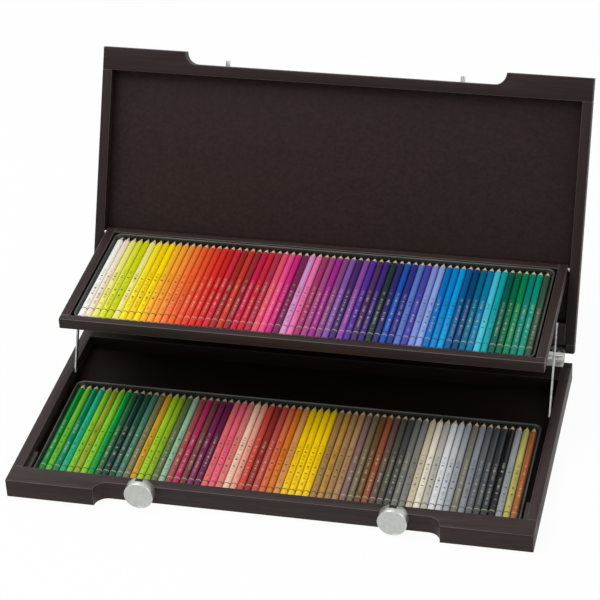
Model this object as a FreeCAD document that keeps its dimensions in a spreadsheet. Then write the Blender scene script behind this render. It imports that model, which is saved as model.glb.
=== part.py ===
# Two-level wooden drawer box for coloured pencils, standing open.
# A shallow base holds one flat tin of pencils and carries a lid on two butt hinges.
# A second tin lies in a raised tray, hung from the lid at its rear and carried by a strut on each side,
# so that it rises and moves back, always level, as the lid opens.
# Millimetres. X runs to the right, Y to the rear, Z up. The origin is the middle of the base's underside.
import FreeCAD, Part
import os
import Sketcher
from FreeCAD import Placement, Rotation, Vector

doc = FreeCAD.newDocument("PencilDrawerBox")

# Driving sizes
SIZES = (
    ("pencil_diameter", "7.6", "barrel of a pencil"),
    ("pencil_length", "174", "sharpened pencil"),
    ("pencil_pitch", "8.15", "from one pencil to the next"),
    ("pencil_cone", "11.5", "sharpened length"),
    ("pencil_edge", "0.4", "rounding of the butt end"),
    ("lead_radius", "1.3", "lead where the wood ends"),
    ("lead_length", "3.2", "bare lead"),
    ("lead_point", "0.35", "radius of the worn point"),
    ("pencil_rest_gap", "0.05", "air under a pencil"),
    ("upper_groups", "8", "pencil groups in the upper tin"),
    ("upper_group_count", "8", "pencils in an upper group"),
    ("lower_groups", "6", "pencil groups in the lower tin"),
    ("lower_group_count", "11", "pencils in a lower group"),
    ("tin_sheet", "0.5", "floor of a tin"),
    ("tin_wall", "0.6", "wall of a tin"),
    ("tin_bead", "1.4", "rolled rim, beyond the wall"),
    ("tin_bead_height", "1.7", "height of the rolled rim"),
    ("tin_head_room", "0.6", "rim above the pencils"),
    ("tin_side_room", "2.4", "air beside the outer pencils"),
    ("tin_butt_room", "2", "air at the pencils' butts"),
    ("tin_point_room", "0.4", "air at the pencils' points"),
    ("tin_play", "0.3", "tin to the rails before and behind it"),
    ("tin_side_gap", "2.55", "upper tin to the tray's side rails"),
    ("tray_side_rail", "10.5", "side rails of the tray"),
    ("tray_front_rail", "9.5", "front rail of the tray"),
    ("tray_back_rail", "9", "back rail of the tray"),
    ("tray_floor_top", "3", "tray floor above the tray's underside"),
    ("tray_floor_lift", "0.4", "floor panel above the underside"),
    ("tray_lap", "4", "floor panel into the rails"),
    ("tray_side_gap", "3", "tray to the side boards"),
    ("tray_front_gap", "1", "closed tray to the front board"),
    ("tray_clearance", "1.5", "closed tray above the lower tin"),
    ("tray_rest_gap", "0.3", "closed tray above its rest blocks"),
    ("tray_stop_gap", "0.1", "tray to the lid panel when fully open"),
    ("tray_pivot_rise", "9.85", "rear pivot above the tray's underside"),
    ("tray_pivot_cover", "1.65", "wood of the tray above a rear pivot"),
    ("lid_pivot_cover", "0.97", "wood of the lid between a rear pivot and the rim"),
    ("side_board", "11.5", "side boards of base and lid"),
    ("front_board", "27", "front boards"),
    ("back_board", "10", "back boards"),
    ("hinge_board", "24.5", "inner boards along the hinges"),
    ("rear_room", "57", "closed tray to the hinge board"),
    ("lid_height", "16", "height of the lid"),
    ("rim_gap", "0.3", "seam between lid and base"),
    ("base_floor_top", "5", "floor of the base above the ground"),
    ("lid_panel", "4", "panel of the lid"),
    ("panel_lap", "5", "panels into the boards"),
    ("panel_play", "0.1", "air at a panel's edges"),
    ("recess_half", "192", "half the length of the front recess"),
    ("recess_depth", "14.5", "depth of the front recess"),
    ("rest_block_depth", "38", "rest blocks, front to back"),
    ("rest_block_width", "5", "rest blocks, out from the side boards"),
    ("open_angle", "116.8", "lid opening in degrees"),
    ("axis_setback", "6.5", "hinge axis behind the rear face"),
    ("hinge_length", "70", "length of a hinge"),
    ("hinge_inset", "10", "hinge end from the side face"),
    ("hinge_leaf_depth", "9.5", "leaf on the back board"),
    ("hinge_leaf", "2", "thickness of a leaf"),
    ("knuckle_radius", "3.2", "barrel of a hinge"),
    ("knuckle_gap", "0.2", "air between knuckles"),
    ("knuckle_air", "0.4", "leaf to the other leaf's knuckles"),
    ("knuckles", "5", "knuckles on a hinge"),
    ("hinge_pin_radius", "1.5", "pin of a hinge"),
    ("running_gap", "0.05", "radial clearance of a running fit"),
    ("seat_gap", "0.03", "radial clearance of a fixed pin in wood"),
    ("bore_end_room", "0.2", "air at the end of a blind bore"),
    ("screw_head_radius", "2.4", "hinge screw head"),
    ("screw_radius", "1.25", "hinge screw shank"),
    ("screw_length", "7", "hinge screw in the wood"),
    ("screw_spacing", "24", "from one hinge screw to the next"),
    ("leaf_screws", "3", "screws in a leaf"),
    ("strut_width", "6", "flat bar, across"),
    ("strut_thickness", "1.8", "flat bar, thickness"),
    ("strut_setback", "2", "strut pivot in front of the tray pivot"),
    ("strut_air", "2.7", "strut to the tray pivot's collar"),
    ("strut_pin_radius", "1.5", "strut pivots"),
    ("strut_open_gap", "0.15", "radial clearance at the strut's upper pivot"),
    ("strut_head_radius", "2.8", "heads of the strut pivots"),
    ("strut_head", "0.4", "thickness of those heads"),
    ("strut_seat", "5", "strut pivots in the wood"),
    ("tray_pin_radius", "1.25", "rear pivots of the tray"),
    ("tray_collar_radius", "2.5", "collars of the rear pivots"),
    ("tray_collar_air", "0.5", "collar to the wood on each side"),
    ("tray_pin_seat", "6", "rear pivots in the wood"),
    ("latch_half_spacing", "140.5", "latches from the middle"),
    ("latch_circle", "11.5", "lid pin from the knob's axis"),
    ("latch_pin_radius", "2.75", "lid pin"),
    ("latch_pin_reach", "7", "lid pin before the recessed face"),
    ("latch_pin_seat", "9", "lid pin in the wood"),
    ("latch_clearance", "0.45", "lid pin to the knob's groove"),
    ("latch_end_room", "0.6", "lid pin to the end of the groove"),
    ("latch_slot_room", "1.6", "lid pin to each side of the slot"),
    ("knob_wall", "1.55", "outer wall of the knob"),
    ("knob_ground_gap", "2.25", "knob above the ground"),
    ("knob_back_gap", "0.8", "knob to the recessed face"),
    ("knob_inset", "1", "knob behind the front plane"),
    ("knob_edge", "0.6", "bevel of the knob's front edge"),
    ("knob_lip", "1.3", "width of the raised lip"),
    ("knob_lip_height", "0.9", "height of the raised lip"),
    ("knob_dish", "1.8", "depth of the dished face"),
    ("spindle_radius", "2.5", "spindle of a knob"),
    ("spindle_seat", "10", "spindle in the wood"),
    ("spindle_reach", "8", "spindle in front of the recessed face"),
)
sheet = doc.addObject("Spreadsheet::Sheet", "Sizes")
for row, (name, number, note) in enumerate(SIZES, start=1):
    sheet.set(f"A{row}", note)
    sheet.set(f"B{row}", number)
    sheet.setAlias(f"B{row}", name)
doc.recompute()

# Values worked out from the driving sizes
LAYOUT = (
    ("upper_count", "Sizes.upper_groups * Sizes.upper_group_count"),
    ("lower_count", "Sizes.lower_groups * Sizes.lower_group_count"),
    ("upper_row", "(Layout.upper_count - 1) * Sizes.pencil_pitch"),
    ("lower_row", "(Layout.lower_count - 1) * Sizes.pencil_pitch"),
    ("tin_edge", "Sizes.tin_bead + Sizes.tin_wall"),
    ("tin_margin", "Sizes.pencil_diameter + 2 * (Sizes.tin_side_room + Layout.tin_edge)"),
    ("upper_tin_width", "Layout.upper_row + Layout.tin_margin"),
    ("lower_tin_width", "Layout.lower_row + Layout.tin_margin"),
    ("tin_depth", "Sizes.tin_butt_room + Sizes.pencil_length + Sizes.tin_point_room + 2 * Layout.tin_edge"),
    ("tin_turn", "sqrt(2 * Sizes.tin_side_room * Sizes.tin_butt_room)"),
    ("tin_corner", "Layout.tin_edge + Sizes.tin_side_room + Sizes.tin_butt_room + Layout.tin_turn"),
    ("tin_height", "Sizes.tin_sheet + Sizes.pencil_diameter + Sizes.tin_head_room"),
    ("tray_half", "Layout.upper_tin_width / 2 + Sizes.tin_side_gap + Sizes.tray_side_rail"),
    ("tray_inner_half", "Layout.tray_half - Sizes.tray_side_rail"),
    ("tray_bay", "Layout.tin_depth + 2 * Sizes.tin_play"),
    ("tray_depth", "Sizes.tray_front_rail + Layout.tray_bay + Sizes.tray_back_rail"),
    ("inner_half", "Layout.tray_half + Sizes.tray_side_gap"),
    ("case_half", "Layout.inner_half + Sizes.side_board"),
    ("hinge_board_y", "Sizes.front_board + Sizes.tray_front_gap + Layout.tray_depth + Sizes.rear_room"),
    ("back_board_y", "Layout.hinge_board_y + Sizes.hinge_board"),
    ("case_depth", "Layout.back_board_y + Sizes.back_board"),
    ("half_depth", "Layout.case_depth / 2"),
    ("tray_low", "Sizes.base_floor_top + Layout.tin_height + Sizes.tray_clearance"),
    ("tray_cover", "Sizes.tray_pin_radius + Sizes.running_gap + Sizes.tray_pivot_cover"),
    ("tray_height", "Sizes.tray_pivot_rise + Layout.tray_cover"),
    ("arm_z", "Sizes.rim_gap / 2 + Sizes.lid_pivot_cover + Sizes.seat_gap + Sizes.tray_pin_radius"),
    ("axis_y", "Layout.case_depth + Sizes.axis_setback"),
    ("axis_z", "Layout.tray_low + Sizes.tray_pivot_rise - Layout.arm_z"),
    ("base_height", "Layout.axis_z - Sizes.rim_gap / 2"),
    ("lid_inner", "Sizes.rim_gap / 2 + Sizes.lid_height - Sizes.lid_panel"),
    ("sine", "sin(Sizes.open_angle * 1 deg)"),
    ("cosine", "cos(Sizes.open_angle * 1 deg)"),
    ("stop_height", "Layout.lid_inner - Sizes.tray_stop_gap - Layout.arm_z"),
    ("pivot_inset", "(Layout.stop_height + Sizes.tray_pivot_rise * Layout.cosine) / Layout.sine"),
    ("pivot_front", "Layout.tray_depth - Layout.pivot_inset"),
    ("arm_y", "Sizes.front_board + Sizes.tray_front_gap + Layout.pivot_front - Layout.axis_y"),
    ("rise_y", "Layout.arm_y * Layout.cosine + Layout.arm_z * Layout.sine"),
    ("rise_z", "Layout.arm_z * Layout.cosine - Layout.arm_y * Layout.sine"),
    ("pivot_y", "Layout.axis_y + Layout.rise_y"),
    ("pivot_z", "Layout.axis_z + Layout.rise_z"),
    ("strut_length", "sqrt(Layout.arm_y ^ 2 + Layout.arm_z ^ 2)"),
    ("strut_angle", "atan2(Layout.rise_z; Layout.rise_y) / 1 deg"),
    ("strut_drop", "Sizes.tray_collar_radius + Sizes.strut_width / 2 + Sizes.strut_air"),
    ("strut_y", "Layout.axis_y + Layout.arm_y - Sizes.strut_setback"),
    ("strut_z", "Layout.axis_z + Layout.arm_z - Layout.strut_drop"),
    ("strut_low_x", "Layout.tray_half + (Sizes.tray_side_gap - Sizes.strut_thickness) / 2"),
    ("strut_high_x", "Layout.strut_low_x + Sizes.strut_thickness"),
    ("ring_inner", "Sizes.latch_circle + Sizes.latch_pin_radius + Sizes.latch_clearance"),
    ("hub_radius", "Sizes.latch_circle - Sizes.latch_pin_radius - Sizes.latch_clearance"),
    ("knob_radius", "Layout.ring_inner + Sizes.knob_wall"),
    ("knob_z", "Sizes.knob_ground_gap + Layout.knob_radius"),
    ("knob_depth", "Sizes.recess_depth - Sizes.knob_back_gap - Sizes.knob_inset"),
    ("groove_depth", "Sizes.latch_pin_reach - Sizes.knob_back_gap + Sizes.latch_end_room"),
    ("hinge_x", "Layout.case_half - Sizes.hinge_inset - Sizes.hinge_length / 2"),
    ("knuckle_length", "(Sizes.hinge_length - (Sizes.knuckles - 1) * Sizes.knuckle_gap) / Sizes.knuckles"),
    ("knuckle_step", "2 * (Layout.knuckle_length + Sizes.knuckle_gap)"),
    ("leaf_front", "Sizes.axis_setback + Sizes.hinge_leaf_depth"),
    ("leaf_end", "Sizes.knuckle_radius + Sizes.knuckle_air"),
    ("screw_y", "Sizes.axis_setback + Sizes.hinge_leaf_depth / 2"),
    ("first_screw", "-(Sizes.leaf_screws - 1) / 2 * Sizes.screw_spacing"),
)
layout = doc.addObject("App::VarSet", "Layout")
for name, formula in LAYOUT:
    layout.addProperty("App::PropertyFloat", name, "Layout", "")
    layout.setExpression(name, formula)
doc.recompute()


def value_of(formula):
    """The number that a formula of named sizes gives."""
    return float(layout.evalExpression(formula))


def joined(*terms):
    """A sum of formulas."""
    return " + ".join(f"({term})" for term in terms)


def less(formula):
    """A formula with its sign turned."""
    return f"-({formula})"


# Where the pieces belong: the fixed base from its front face, the opened lid about the hinge axis,
# and the raised tray about its rear pivots.
BASE = ("0", "-Layout.half_depth", "0", "0")
LID = ("0", "Layout.axis_y - Layout.half_depth", "Layout.axis_z", "-Sizes.open_angle")
TRAY = ("0", "Layout.pivot_y - Layout.half_depth", "Layout.pivot_z", "0")


def new_body(label, home):
    """An empty body at its home: X, Y, Z and a turn about X."""
    body = doc.addObject("PartDesign::Body", label)
    body.Label = label
    body.Placement = Placement(Vector(), Rotation(Vector(1, 0, 0), value_of(home[3])))
    for axis, formula in zip("xyz", home):
        body.setExpression(f"Placement.Base.{axis}", formula)
    body.setExpression("Placement.Rotation.Angle", home[3])
    return body


def new_sketch(body, role, offset):
    """A sketch on an origin plane, moved along the plane's own two axes and its normal."""
    sketch = body.newObject("Sketcher::SketchObject", body.Label + "_sketch")
    plane = [item for item in body.Origin.OriginFeatures if item.Role == role][0]
    sketch.AttachmentSupport = [(plane, "")]
    sketch.MapMode = "FlatFace"
    for axis, formula in zip("xyz", offset):
        sketch.setExpression(f"AttachmentOffset.Base.{axis}", formula)
    return sketch


def bind(sketch, constraint, formula):
    """Adds a constraint whose value follows a formula."""
    index = sketch.addConstraint(constraint)
    sketch.setExpression(f"Constraints[{index}]", formula)


def pin_point(sketch, geometry, end, x_formula, y_formula):
    """Holds a point of a sketch at its distances from the sketch's origin."""
    x_value, y_value = value_of(x_formula), value_of(y_formula)
    if x_value == 0:
        sketch.addConstraint(Sketcher.Constraint("PointOnObject", geometry, end, -2))
    else:
        bind(sketch, Sketcher.Constraint("DistanceX", -1, 1, geometry, end, x_value), x_formula)
    if y_value == 0:
        sketch.addConstraint(Sketcher.Constraint("PointOnObject", geometry, end, -1))
    else:
        bind(sketch, Sketcher.Constraint("DistanceY", -1, 1, geometry, end, y_value), y_formula)


def draw_outline(sketch, corners):
    """A closed outline of straight lines through corners given as pairs of formulas."""
    spots = [Vector(value_of(x), value_of(y), 0) for x, y in corners]
    count = len(spots)
    for index in range(count):
        sketch.addGeometry(Part.LineSegment(spots[index], spots[(index + 1) % count]))
    for index in range(count):
        sketch.addConstraint(Sketcher.Constraint("Coincident", index, 2, (index + 1) % count, 1))
    for index, (x_formula, y_formula) in enumerate(corners):
        pin_point(sketch, index, 1, x_formula, y_formula)


def draw_circle(sketch, radius):
    """A circle about the sketch's origin."""
    circle = sketch.addGeometry(Part.Circle(Vector(), Vector(0, 0, 1), value_of(radius)))
    sketch.addConstraint(Sketcher.Constraint("Coincident", circle, 3, -1, 1))
    bind(sketch, Sketcher.Constraint("Radius", circle, value_of(radius)), radius)


def draw_stadium(sketch, length, radius):
    """Two half circles and two lines, from the sketch's origin along its first axis."""
    reach, size = value_of(length), value_of(radius)
    ends = [Vector(0, 0, 0), Vector(reach, 0, 0)]
    up = Vector(0, size, 0)
    start = Part.Arc(ends[0] + up, ends[0] - Vector(size, 0, 0), ends[0] - up)
    finish = Part.Arc(ends[1] - up, ends[1] + Vector(size, 0, 0), ends[1] + up)
    sketch.addGeometry(start)
    sketch.addGeometry(Part.LineSegment(ends[0] - up, ends[1] - up))
    sketch.addGeometry(finish)
    sketch.addGeometry(Part.LineSegment(ends[1] + up, ends[0] + up))
    for index in range(4):
        sketch.addConstraint(Sketcher.Constraint("Tangent", index, 2, (index + 1) % 4, 1))
    sketch.addConstraint(Sketcher.Constraint("Coincident", 0, 3, -1, 1))
    sketch.addConstraint(Sketcher.Constraint("PointOnObject", 2, 3, -1))
    bind(sketch, Sketcher.Constraint("Radius", 0, size), radius)
    bind(sketch, Sketcher.Constraint("DistanceX", 0, 3, 2, 3, reach), length)


def draw_rounded(sketch, width, depth, radius):
    """A rectangle with rounded corners about the sketch's origin."""
    size = value_of(radius)
    half_x, half_y = value_of(width) / 2, value_of(depth) / 2
    turns = ((1, -1), (1, 1), (-1, 1), (-1, -1))
    first = [Vector(side_x * half_x, side_y * half_y, 0) for side_x, side_y in turns]
    for index, (side_x, side_y) in enumerate(turns):
        corner = first[index]
        middle = corner - Vector(side_x * size, side_y * size, 0)
        along_x = Vector(middle.x, corner.y, 0)
        along_y = Vector(corner.x, middle.y, 0)
        begin, end = (along_x, along_y) if side_x == -side_y else (along_y, along_x)
        bulge = middle + (corner - middle).normalize() * size
        sketch.addGeometry(Part.Arc(begin, bulge, end))
    for index in range(4):
        begin = sketch.getPoint(index, 2)
        end = sketch.getPoint((index + 1) % 4, 1)
        line = sketch.addGeometry(Part.LineSegment(begin, end))
        sketch.addConstraint(Sketcher.Constraint("Tangent", index, 2, line, 1))
        sketch.addConstraint(Sketcher.Constraint("Tangent", line, 2, (index + 1) % 4, 1))
        sketch.addConstraint(Sketcher.Constraint("Horizontal" if index % 2 else "Vertical", line))
    for index in range(1, 4):
        sketch.addConstraint(Sketcher.Constraint("Equal", 0, index))
    bind(sketch, Sketcher.Constraint("Radius", 0, size), radius)
    sketch.addConstraint(Sketcher.Constraint("Symmetric", 0, 3, 2, 3, -1, 1))
    bind(sketch, Sketcher.Constraint("DistanceX", 2, 2, 0, 2, 2 * half_x), width)
    bind(sketch, Sketcher.Constraint("DistanceY", 0, 1, 1, 2, 2 * half_y), depth)


def pad(body, sketch, length):
    """Material along the sketch's normal."""
    feature = body.newObject("PartDesign::Pad", body.Label + "_pad")
    feature.Profile = sketch
    feature.setExpression("Length", length)
    return feature


def pocket(body, sketch, length):
    """A cut against the sketch's normal. It fails loudly if it takes nothing away."""
    doc.recompute()
    before = body.Shape.Volume
    feature = body.newObject("PartDesign::Pocket", body.Label + "_pocket")
    feature.Profile = sketch
    feature.setExpression("Length", length)
    doc.recompute()
    if not body.Shape.Volume < before:
        raise RuntimeError(f"{body.Label}: a pocket cuts nothing")
    return feature


def row_of(body, features, sketch, count, step):
    """Repeats features along the sketch's first axis."""
    pattern = body.newObject("PartDesign::LinearPattern", body.Label + "_row")
    pattern.Originals = features
    pattern.Direction = (sketch, ["H_Axis"])
    pattern.Mode = "Spacing"
    pattern.setExpression("Offset", step)
    pattern.setExpression("Occurrences", count)
    body.Tip = pattern
    return pattern


def box_outline(low_x, high_x, low_y, high_y):
    """The four corners of a rectangle."""
    return ((low_x, low_y), (high_x, low_y), (high_x, high_y), (low_x, high_y))


def board(label, home, x, y, z):
    """A plain board between a low and a high formula on each axis."""
    body = new_body(label, home)
    sketch = new_sketch(body, "XY_Plane", ("0", "0", z[0]))
    draw_outline(sketch, box_outline(*x, *y))
    pad(body, sketch, joined(z[1], less(z[0])))
    return body


def trim(body, x, y, z):
    """Cuts a box-shaped seat out of a board."""
    sketch = new_sketch(body, "XY_Plane", ("0", "0", z[1]))
    draw_outline(sketch, box_outline(*x, *y))
    pocket(body, sketch, joined(z[1], less(z[0])))


def low_end(side, start, length):
    """The low X of a span that starts at a distance from the middle, on the side that is named."""
    return start if side > 0 else less(joined(start, length))


def rod_x(body, side, start, length, radius, y="0", z="0"):
    """Round bar along X."""
    sketch = new_sketch(body, "YZ_Plane", (y, z, low_end(side, start, length)))
    draw_circle(sketch, radius)
    return pad(body, sketch, length)


def bore_x(body, side, start, length, radius, y, z):
    """Round hole along X."""
    sketch = new_sketch(body, "YZ_Plane", (y, z, joined(low_end(side, start, length), length)))
    draw_circle(sketch, radius)
    pocket(body, sketch, length)


def bore_y(body, x, y, z, length, radius):
    """Round hole that runs to the rear from y."""
    sketch = new_sketch(body, "XZ_Plane", (x, z, less(y)))
    draw_circle(sketch, radius)
    pocket(body, sketch, length)


def span(half):
    """From one side to the other, by half the width."""
    return (less(half), half)


SIDES = ((-1, "left"), (1, "right"))


def both(side, near, far):
    """Low and high X of a span on one side, from its distances to the middle."""
    return (near, far) if side > 0 else (less(far), less(near))


def front_recess(body, y):
    """The long hand recess with its rounded ends, through the full height of a front board."""
    straight = joined("Sizes.recess_half", less("Sizes.recess_depth"))
    height = "Layout.base_height + Sizes.lid_height"
    sketch = new_sketch(body, "XY_Plane", (less(straight), y, height))
    draw_stadium(sketch, f"2 * ({straight})", "Sizes.recess_depth")
    pocket(body, sketch, f"2 * ({height})")


# Base: front board with the hand recess
WIDE = span("Layout.case_half")
LAP_WIDE = span("Layout.inner_half + Sizes.panel_lap")
BASE_Z = ("0", "Layout.base_height")
FLOOR_SEAT = ("0", "Sizes.base_floor_top")
FRONT_LAP = "Sizes.front_board - Sizes.panel_lap"
base_front = board("base_front_board", BASE, WIDE, ("0", "Sizes.front_board"), BASE_Z)
front_recess(base_front, "0")
trim(base_front, LAP_WIDE, (FRONT_LAP, "Sizes.front_board"), FLOOR_SEAT)
for side, word in SIDES:
    spindle_x = f"{side} * Sizes.latch_half_spacing"
    spindle_bore = "Sizes.spindle_seat + Sizes.bore_end_room"
    spindle_fit = "Sizes.spindle_radius + Sizes.seat_gap"
    bore_y(base_front, spindle_x, "Sizes.recess_depth", "Layout.knob_z", spindle_bore, spindle_fit)

# Base: side boards, with the bores of the strut pivots
BETWEEN_Y = ("Sizes.front_board", "Layout.back_board_y")
for side, word in SIDES:
    sides_x = both(side, "Layout.inner_half", "Layout.case_half")
    lap_x = both(side, "Layout.inner_half", "Layout.inner_half + Sizes.panel_lap")
    base_side = board(f"base_side_board_{word}", BASE, sides_x, BETWEEN_Y, BASE_Z)
    trim(base_side, lap_x, BETWEEN_Y, FLOOR_SEAT)
    strut_bore = "Sizes.strut_seat + Sizes.bore_end_room"
    strut_fit = "Sizes.strut_pin_radius + Sizes.seat_gap"
    bore_x(base_side, side, "Layout.inner_half", strut_bore, strut_fit, "Layout.strut_y", "Layout.strut_z")

# Base: back board, hinge board and floor panel
LEAF_SEAT_Y = "Layout.case_depth - Sizes.hinge_leaf_depth - Sizes.panel_play"
SCREW_WORLD_Y = "Layout.axis_y - Layout.screw_y"
SCREW_FIT = "Sizes.screw_radius + Sizes.seat_gap"
SCREW_BORE = "Sizes.screw_length + Sizes.bore_end_room"
HINGE_REACH = "Sizes.hinge_length / 2 + Sizes.panel_play"


def leaf_seat(body, side, front_y, rear_y, z):
    """Recess for a hinge leaf in a back board."""
    near = f"Layout.hinge_x - ({HINGE_REACH})"
    far = f"Layout.hinge_x + ({HINGE_REACH})"
    trim(body, both(side, near, far), (front_y, rear_y), z)


def screw_holes(body, side, y, z, length):
    """Pilot holes below a leaf, each ending at its low z."""
    first_x = f"{side} * Layout.hinge_x + Layout.first_screw"
    sketch = new_sketch(body, "XY_Plane", (first_x, y, joined(z, length)))
    draw_circle(sketch, SCREW_FIT)
    hole = pocket(body, sketch, length)
    row_of(body, [hole], sketch, "Sizes.leaf_screws", "Sizes.screw_spacing")


base_back = board("base_back_board", BASE, WIDE, ("Layout.back_board_y", "Layout.case_depth"), BASE_Z)
trim(base_back, LAP_WIDE, ("Layout.back_board_y", "Layout.back_board_y + Sizes.panel_lap"), FLOOR_SEAT)
for side, word in SIDES:
    seat_z = "Layout.base_height - Sizes.hinge_leaf"
    leaf_seat(base_back, side, LEAF_SEAT_Y, "Layout.case_depth", (seat_z, "Layout.base_height"))
    screw_holes(base_back, side, SCREW_WORLD_Y, f"{seat_z} - ({SCREW_BORE})", SCREW_BORE)

HINGE_BOARD_Y = ("Layout.hinge_board_y", "Layout.back_board_y")
INNER = span("Layout.inner_half")
board("base_hinge_board", BASE, INNER, HINGE_BOARD_Y, ("Sizes.base_floor_top", "Layout.base_height"))

PANEL_WIDE = span("Layout.inner_half + Sizes.panel_lap - Sizes.panel_play")
PANEL_Y = (f"{FRONT_LAP} + Sizes.panel_play", "Layout.back_board_y + Sizes.panel_lap - Sizes.panel_play")
board("base_floor", BASE, PANEL_WIDE, PANEL_Y, FLOOR_SEAT)

# Base: blocks in the front corners that carry the closed tray
BLOCK_Y = ("Sizes.front_board", "Sizes.front_board + Sizes.rest_block_depth")
BLOCK_Z = ("Sizes.base_floor_top", "Layout.tray_low - Sizes.tray_rest_gap")
for side, word in SIDES:
    block_x = both(side, "Layout.inner_half - Sizes.rest_block_width", "Layout.inner_half")
    board(f"rest_block_{word}", BASE, block_x, BLOCK_Y, BLOCK_Z)

# Lid: drawn closed about the hinge axis, so Y is negative towards the front and Z runs away from the rim
LID_FRONT = "-Layout.axis_y"
LID_REAR = "-Sizes.axis_setback"
LID_RIM = "Sizes.rim_gap / 2"
LID_TOP = "Sizes.rim_gap / 2 + Sizes.lid_height"
LID_Z = (LID_RIM, LID_TOP)
LID_SEAT = ("Layout.lid_inner", LID_TOP)
LID_FRONT_IN = f"{LID_FRONT} + Sizes.front_board"
LID_BACK_IN = f"{LID_REAR} - Sizes.back_board"
LID_BETWEEN = (LID_FRONT_IN, LID_BACK_IN)
lid_front = board("lid_front_board", LID, WIDE, (LID_FRONT, LID_FRONT_IN), LID_Z)
front_recess(lid_front, LID_FRONT)
trim(lid_front, LAP_WIDE, (f"{LID_FRONT_IN} - Sizes.panel_lap", LID_FRONT_IN), LID_SEAT)
PIN_Z = "Layout.knob_z + Sizes.latch_circle - Layout.axis_z"
PIN_FACE = f"{LID_FRONT} + Sizes.recess_depth"
for side, word in SIDES:
    pin_x = f"{side} * Sizes.latch_half_spacing"
    pin_fit = "Sizes.latch_pin_radius + Sizes.seat_gap"
    bore_y(lid_front, pin_x, PIN_FACE, PIN_Z, "Sizes.latch_pin_seat + Sizes.bore_end_room", pin_fit)

# Lid: side boards with the bores of the tray's rear pivots
for side, word in SIDES:
    sides_x = both(side, "Layout.inner_half", "Layout.case_half")
    lap_x = both(side, "Layout.inner_half", "Layout.inner_half + Sizes.panel_lap")
    lid_side = board(f"lid_side_board_{word}", LID, sides_x, LID_BETWEEN, LID_Z)
    trim(lid_side, lap_x, LID_BETWEEN, LID_SEAT)
    tray_bore = "Sizes.tray_pin_seat + Sizes.bore_end_room"
    tray_fit = "Sizes.tray_pin_radius + Sizes.seat_gap"
    bore_x(lid_side, side, "Layout.inner_half", tray_bore, tray_fit, "Layout.arm_y", "Layout.arm_z")

# Lid: back board, hinge board and panel
lid_back = board("lid_back_board", LID, WIDE, (LID_BACK_IN, LID_REAR), LID_Z)
trim(lid_back, LAP_WIDE, (LID_BACK_IN, f"{LID_BACK_IN} + Sizes.panel_lap"), LID_SEAT)
for side, word in SIDES:
    lid_leaf_y = f"{LID_REAR} - Sizes.hinge_leaf_depth - Sizes.panel_play"
    lid_leaf_z = (LID_RIM, f"{LID_RIM} + Sizes.hinge_leaf")
    leaf_seat(lid_back, side, lid_leaf_y, LID_REAR, lid_leaf_z)
    screw_holes(lid_back, side, "-Layout.screw_y", lid_leaf_z[1], SCREW_BORE)

board("lid_hinge_board", LID, INNER, (f"{LID_BACK_IN} - Sizes.hinge_board", LID_BACK_IN),
      (LID_RIM, "Layout.lid_inner"))
LID_PANEL_Y = (f"{LID_FRONT_IN} - Sizes.panel_lap + Sizes.panel_play",
               f"{LID_BACK_IN} + Sizes.panel_lap - Sizes.panel_play")
board("lid_panel", LID, PANEL_WIDE, LID_PANEL_Y, LID_SEAT)

# Lid: latch pins in the recessed face
for side, word in SIDES:
    latch_pin = new_body(f"latch_pin_{word}", LID)
    pin_back = joined(PIN_FACE, "Sizes.latch_pin_seat")
    sketch = new_sketch(latch_pin, "XZ_Plane", (f"{side} * Sizes.latch_half_spacing", PIN_Z, less(pin_back)))
    draw_circle(sketch, "Sizes.latch_pin_radius")
    pad(latch_pin, sketch, "Sizes.latch_pin_seat + Sizes.latch_pin_reach")

# Tray: four rails and a floor panel, drawn about the rear pivots
TRAY_FRONT = "-Layout.pivot_front"
TRAY_REAR = "Layout.pivot_inset"
TRAY_UNDER = "-Sizes.tray_pivot_rise"
TRAY_Z = (TRAY_UNDER, f"{TRAY_UNDER} + Layout.tray_height")
TRAY_SEAT = (TRAY_UNDER, f"{TRAY_UNDER} + Sizes.tray_floor_top")
TRAY_FRONT_IN = f"{TRAY_FRONT} + Sizes.tray_front_rail"
TRAY_BACK_IN = f"{TRAY_REAR} - Sizes.tray_back_rail"
TRAY_LAP = span("Layout.tray_inner_half + Sizes.tray_lap")
tray_front = board("tray_front_rail", TRAY, span("Layout.tray_half"), (TRAY_FRONT, TRAY_FRONT_IN), TRAY_Z)
trim(tray_front, TRAY_LAP, (f"{TRAY_FRONT_IN} - Sizes.tray_lap", TRAY_FRONT_IN), TRAY_SEAT)
tray_back = board("tray_back_rail", TRAY, span("Layout.tray_inner_half"), (TRAY_BACK_IN, TRAY_REAR), TRAY_Z)
trim(tray_back, span("Layout.tray_inner_half"), (TRAY_BACK_IN, f"{TRAY_BACK_IN} + Sizes.tray_lap"), TRAY_SEAT)
STRUT_TOP = ("Layout.strut_y - Layout.axis_y", "Layout.strut_z - Layout.axis_z")
for side, word in SIDES:
    rail_x = both(side, "Layout.tray_inner_half", "Layout.tray_half")
    lap_x = both(side, "Layout.tray_inner_half", "Layout.tray_inner_half + Sizes.tray_lap")
    tray_side = board(f"tray_side_rail_{word}", TRAY, rail_x, (TRAY_FRONT_IN, TRAY_REAR), TRAY_Z)
    trim(tray_side, lap_x, (TRAY_FRONT_IN, f"{TRAY_BACK_IN} + Sizes.tray_lap"), TRAY_SEAT)
    pivot_seat = "Sizes.tray_pin_seat + Sizes.bore_end_room"
    bore_x(tray_side, side, joined("Layout.tray_half", less(pivot_seat)), pivot_seat,
           "Sizes.tray_pin_radius + Sizes.running_gap", "0", "0")
    top_seat = "Sizes.strut_seat + Sizes.bore_end_room"
    bore_x(tray_side, side, joined("Layout.tray_half", less(top_seat)), top_seat,
           "Sizes.strut_pin_radius + Sizes.seat_gap", *STRUT_TOP)

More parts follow.
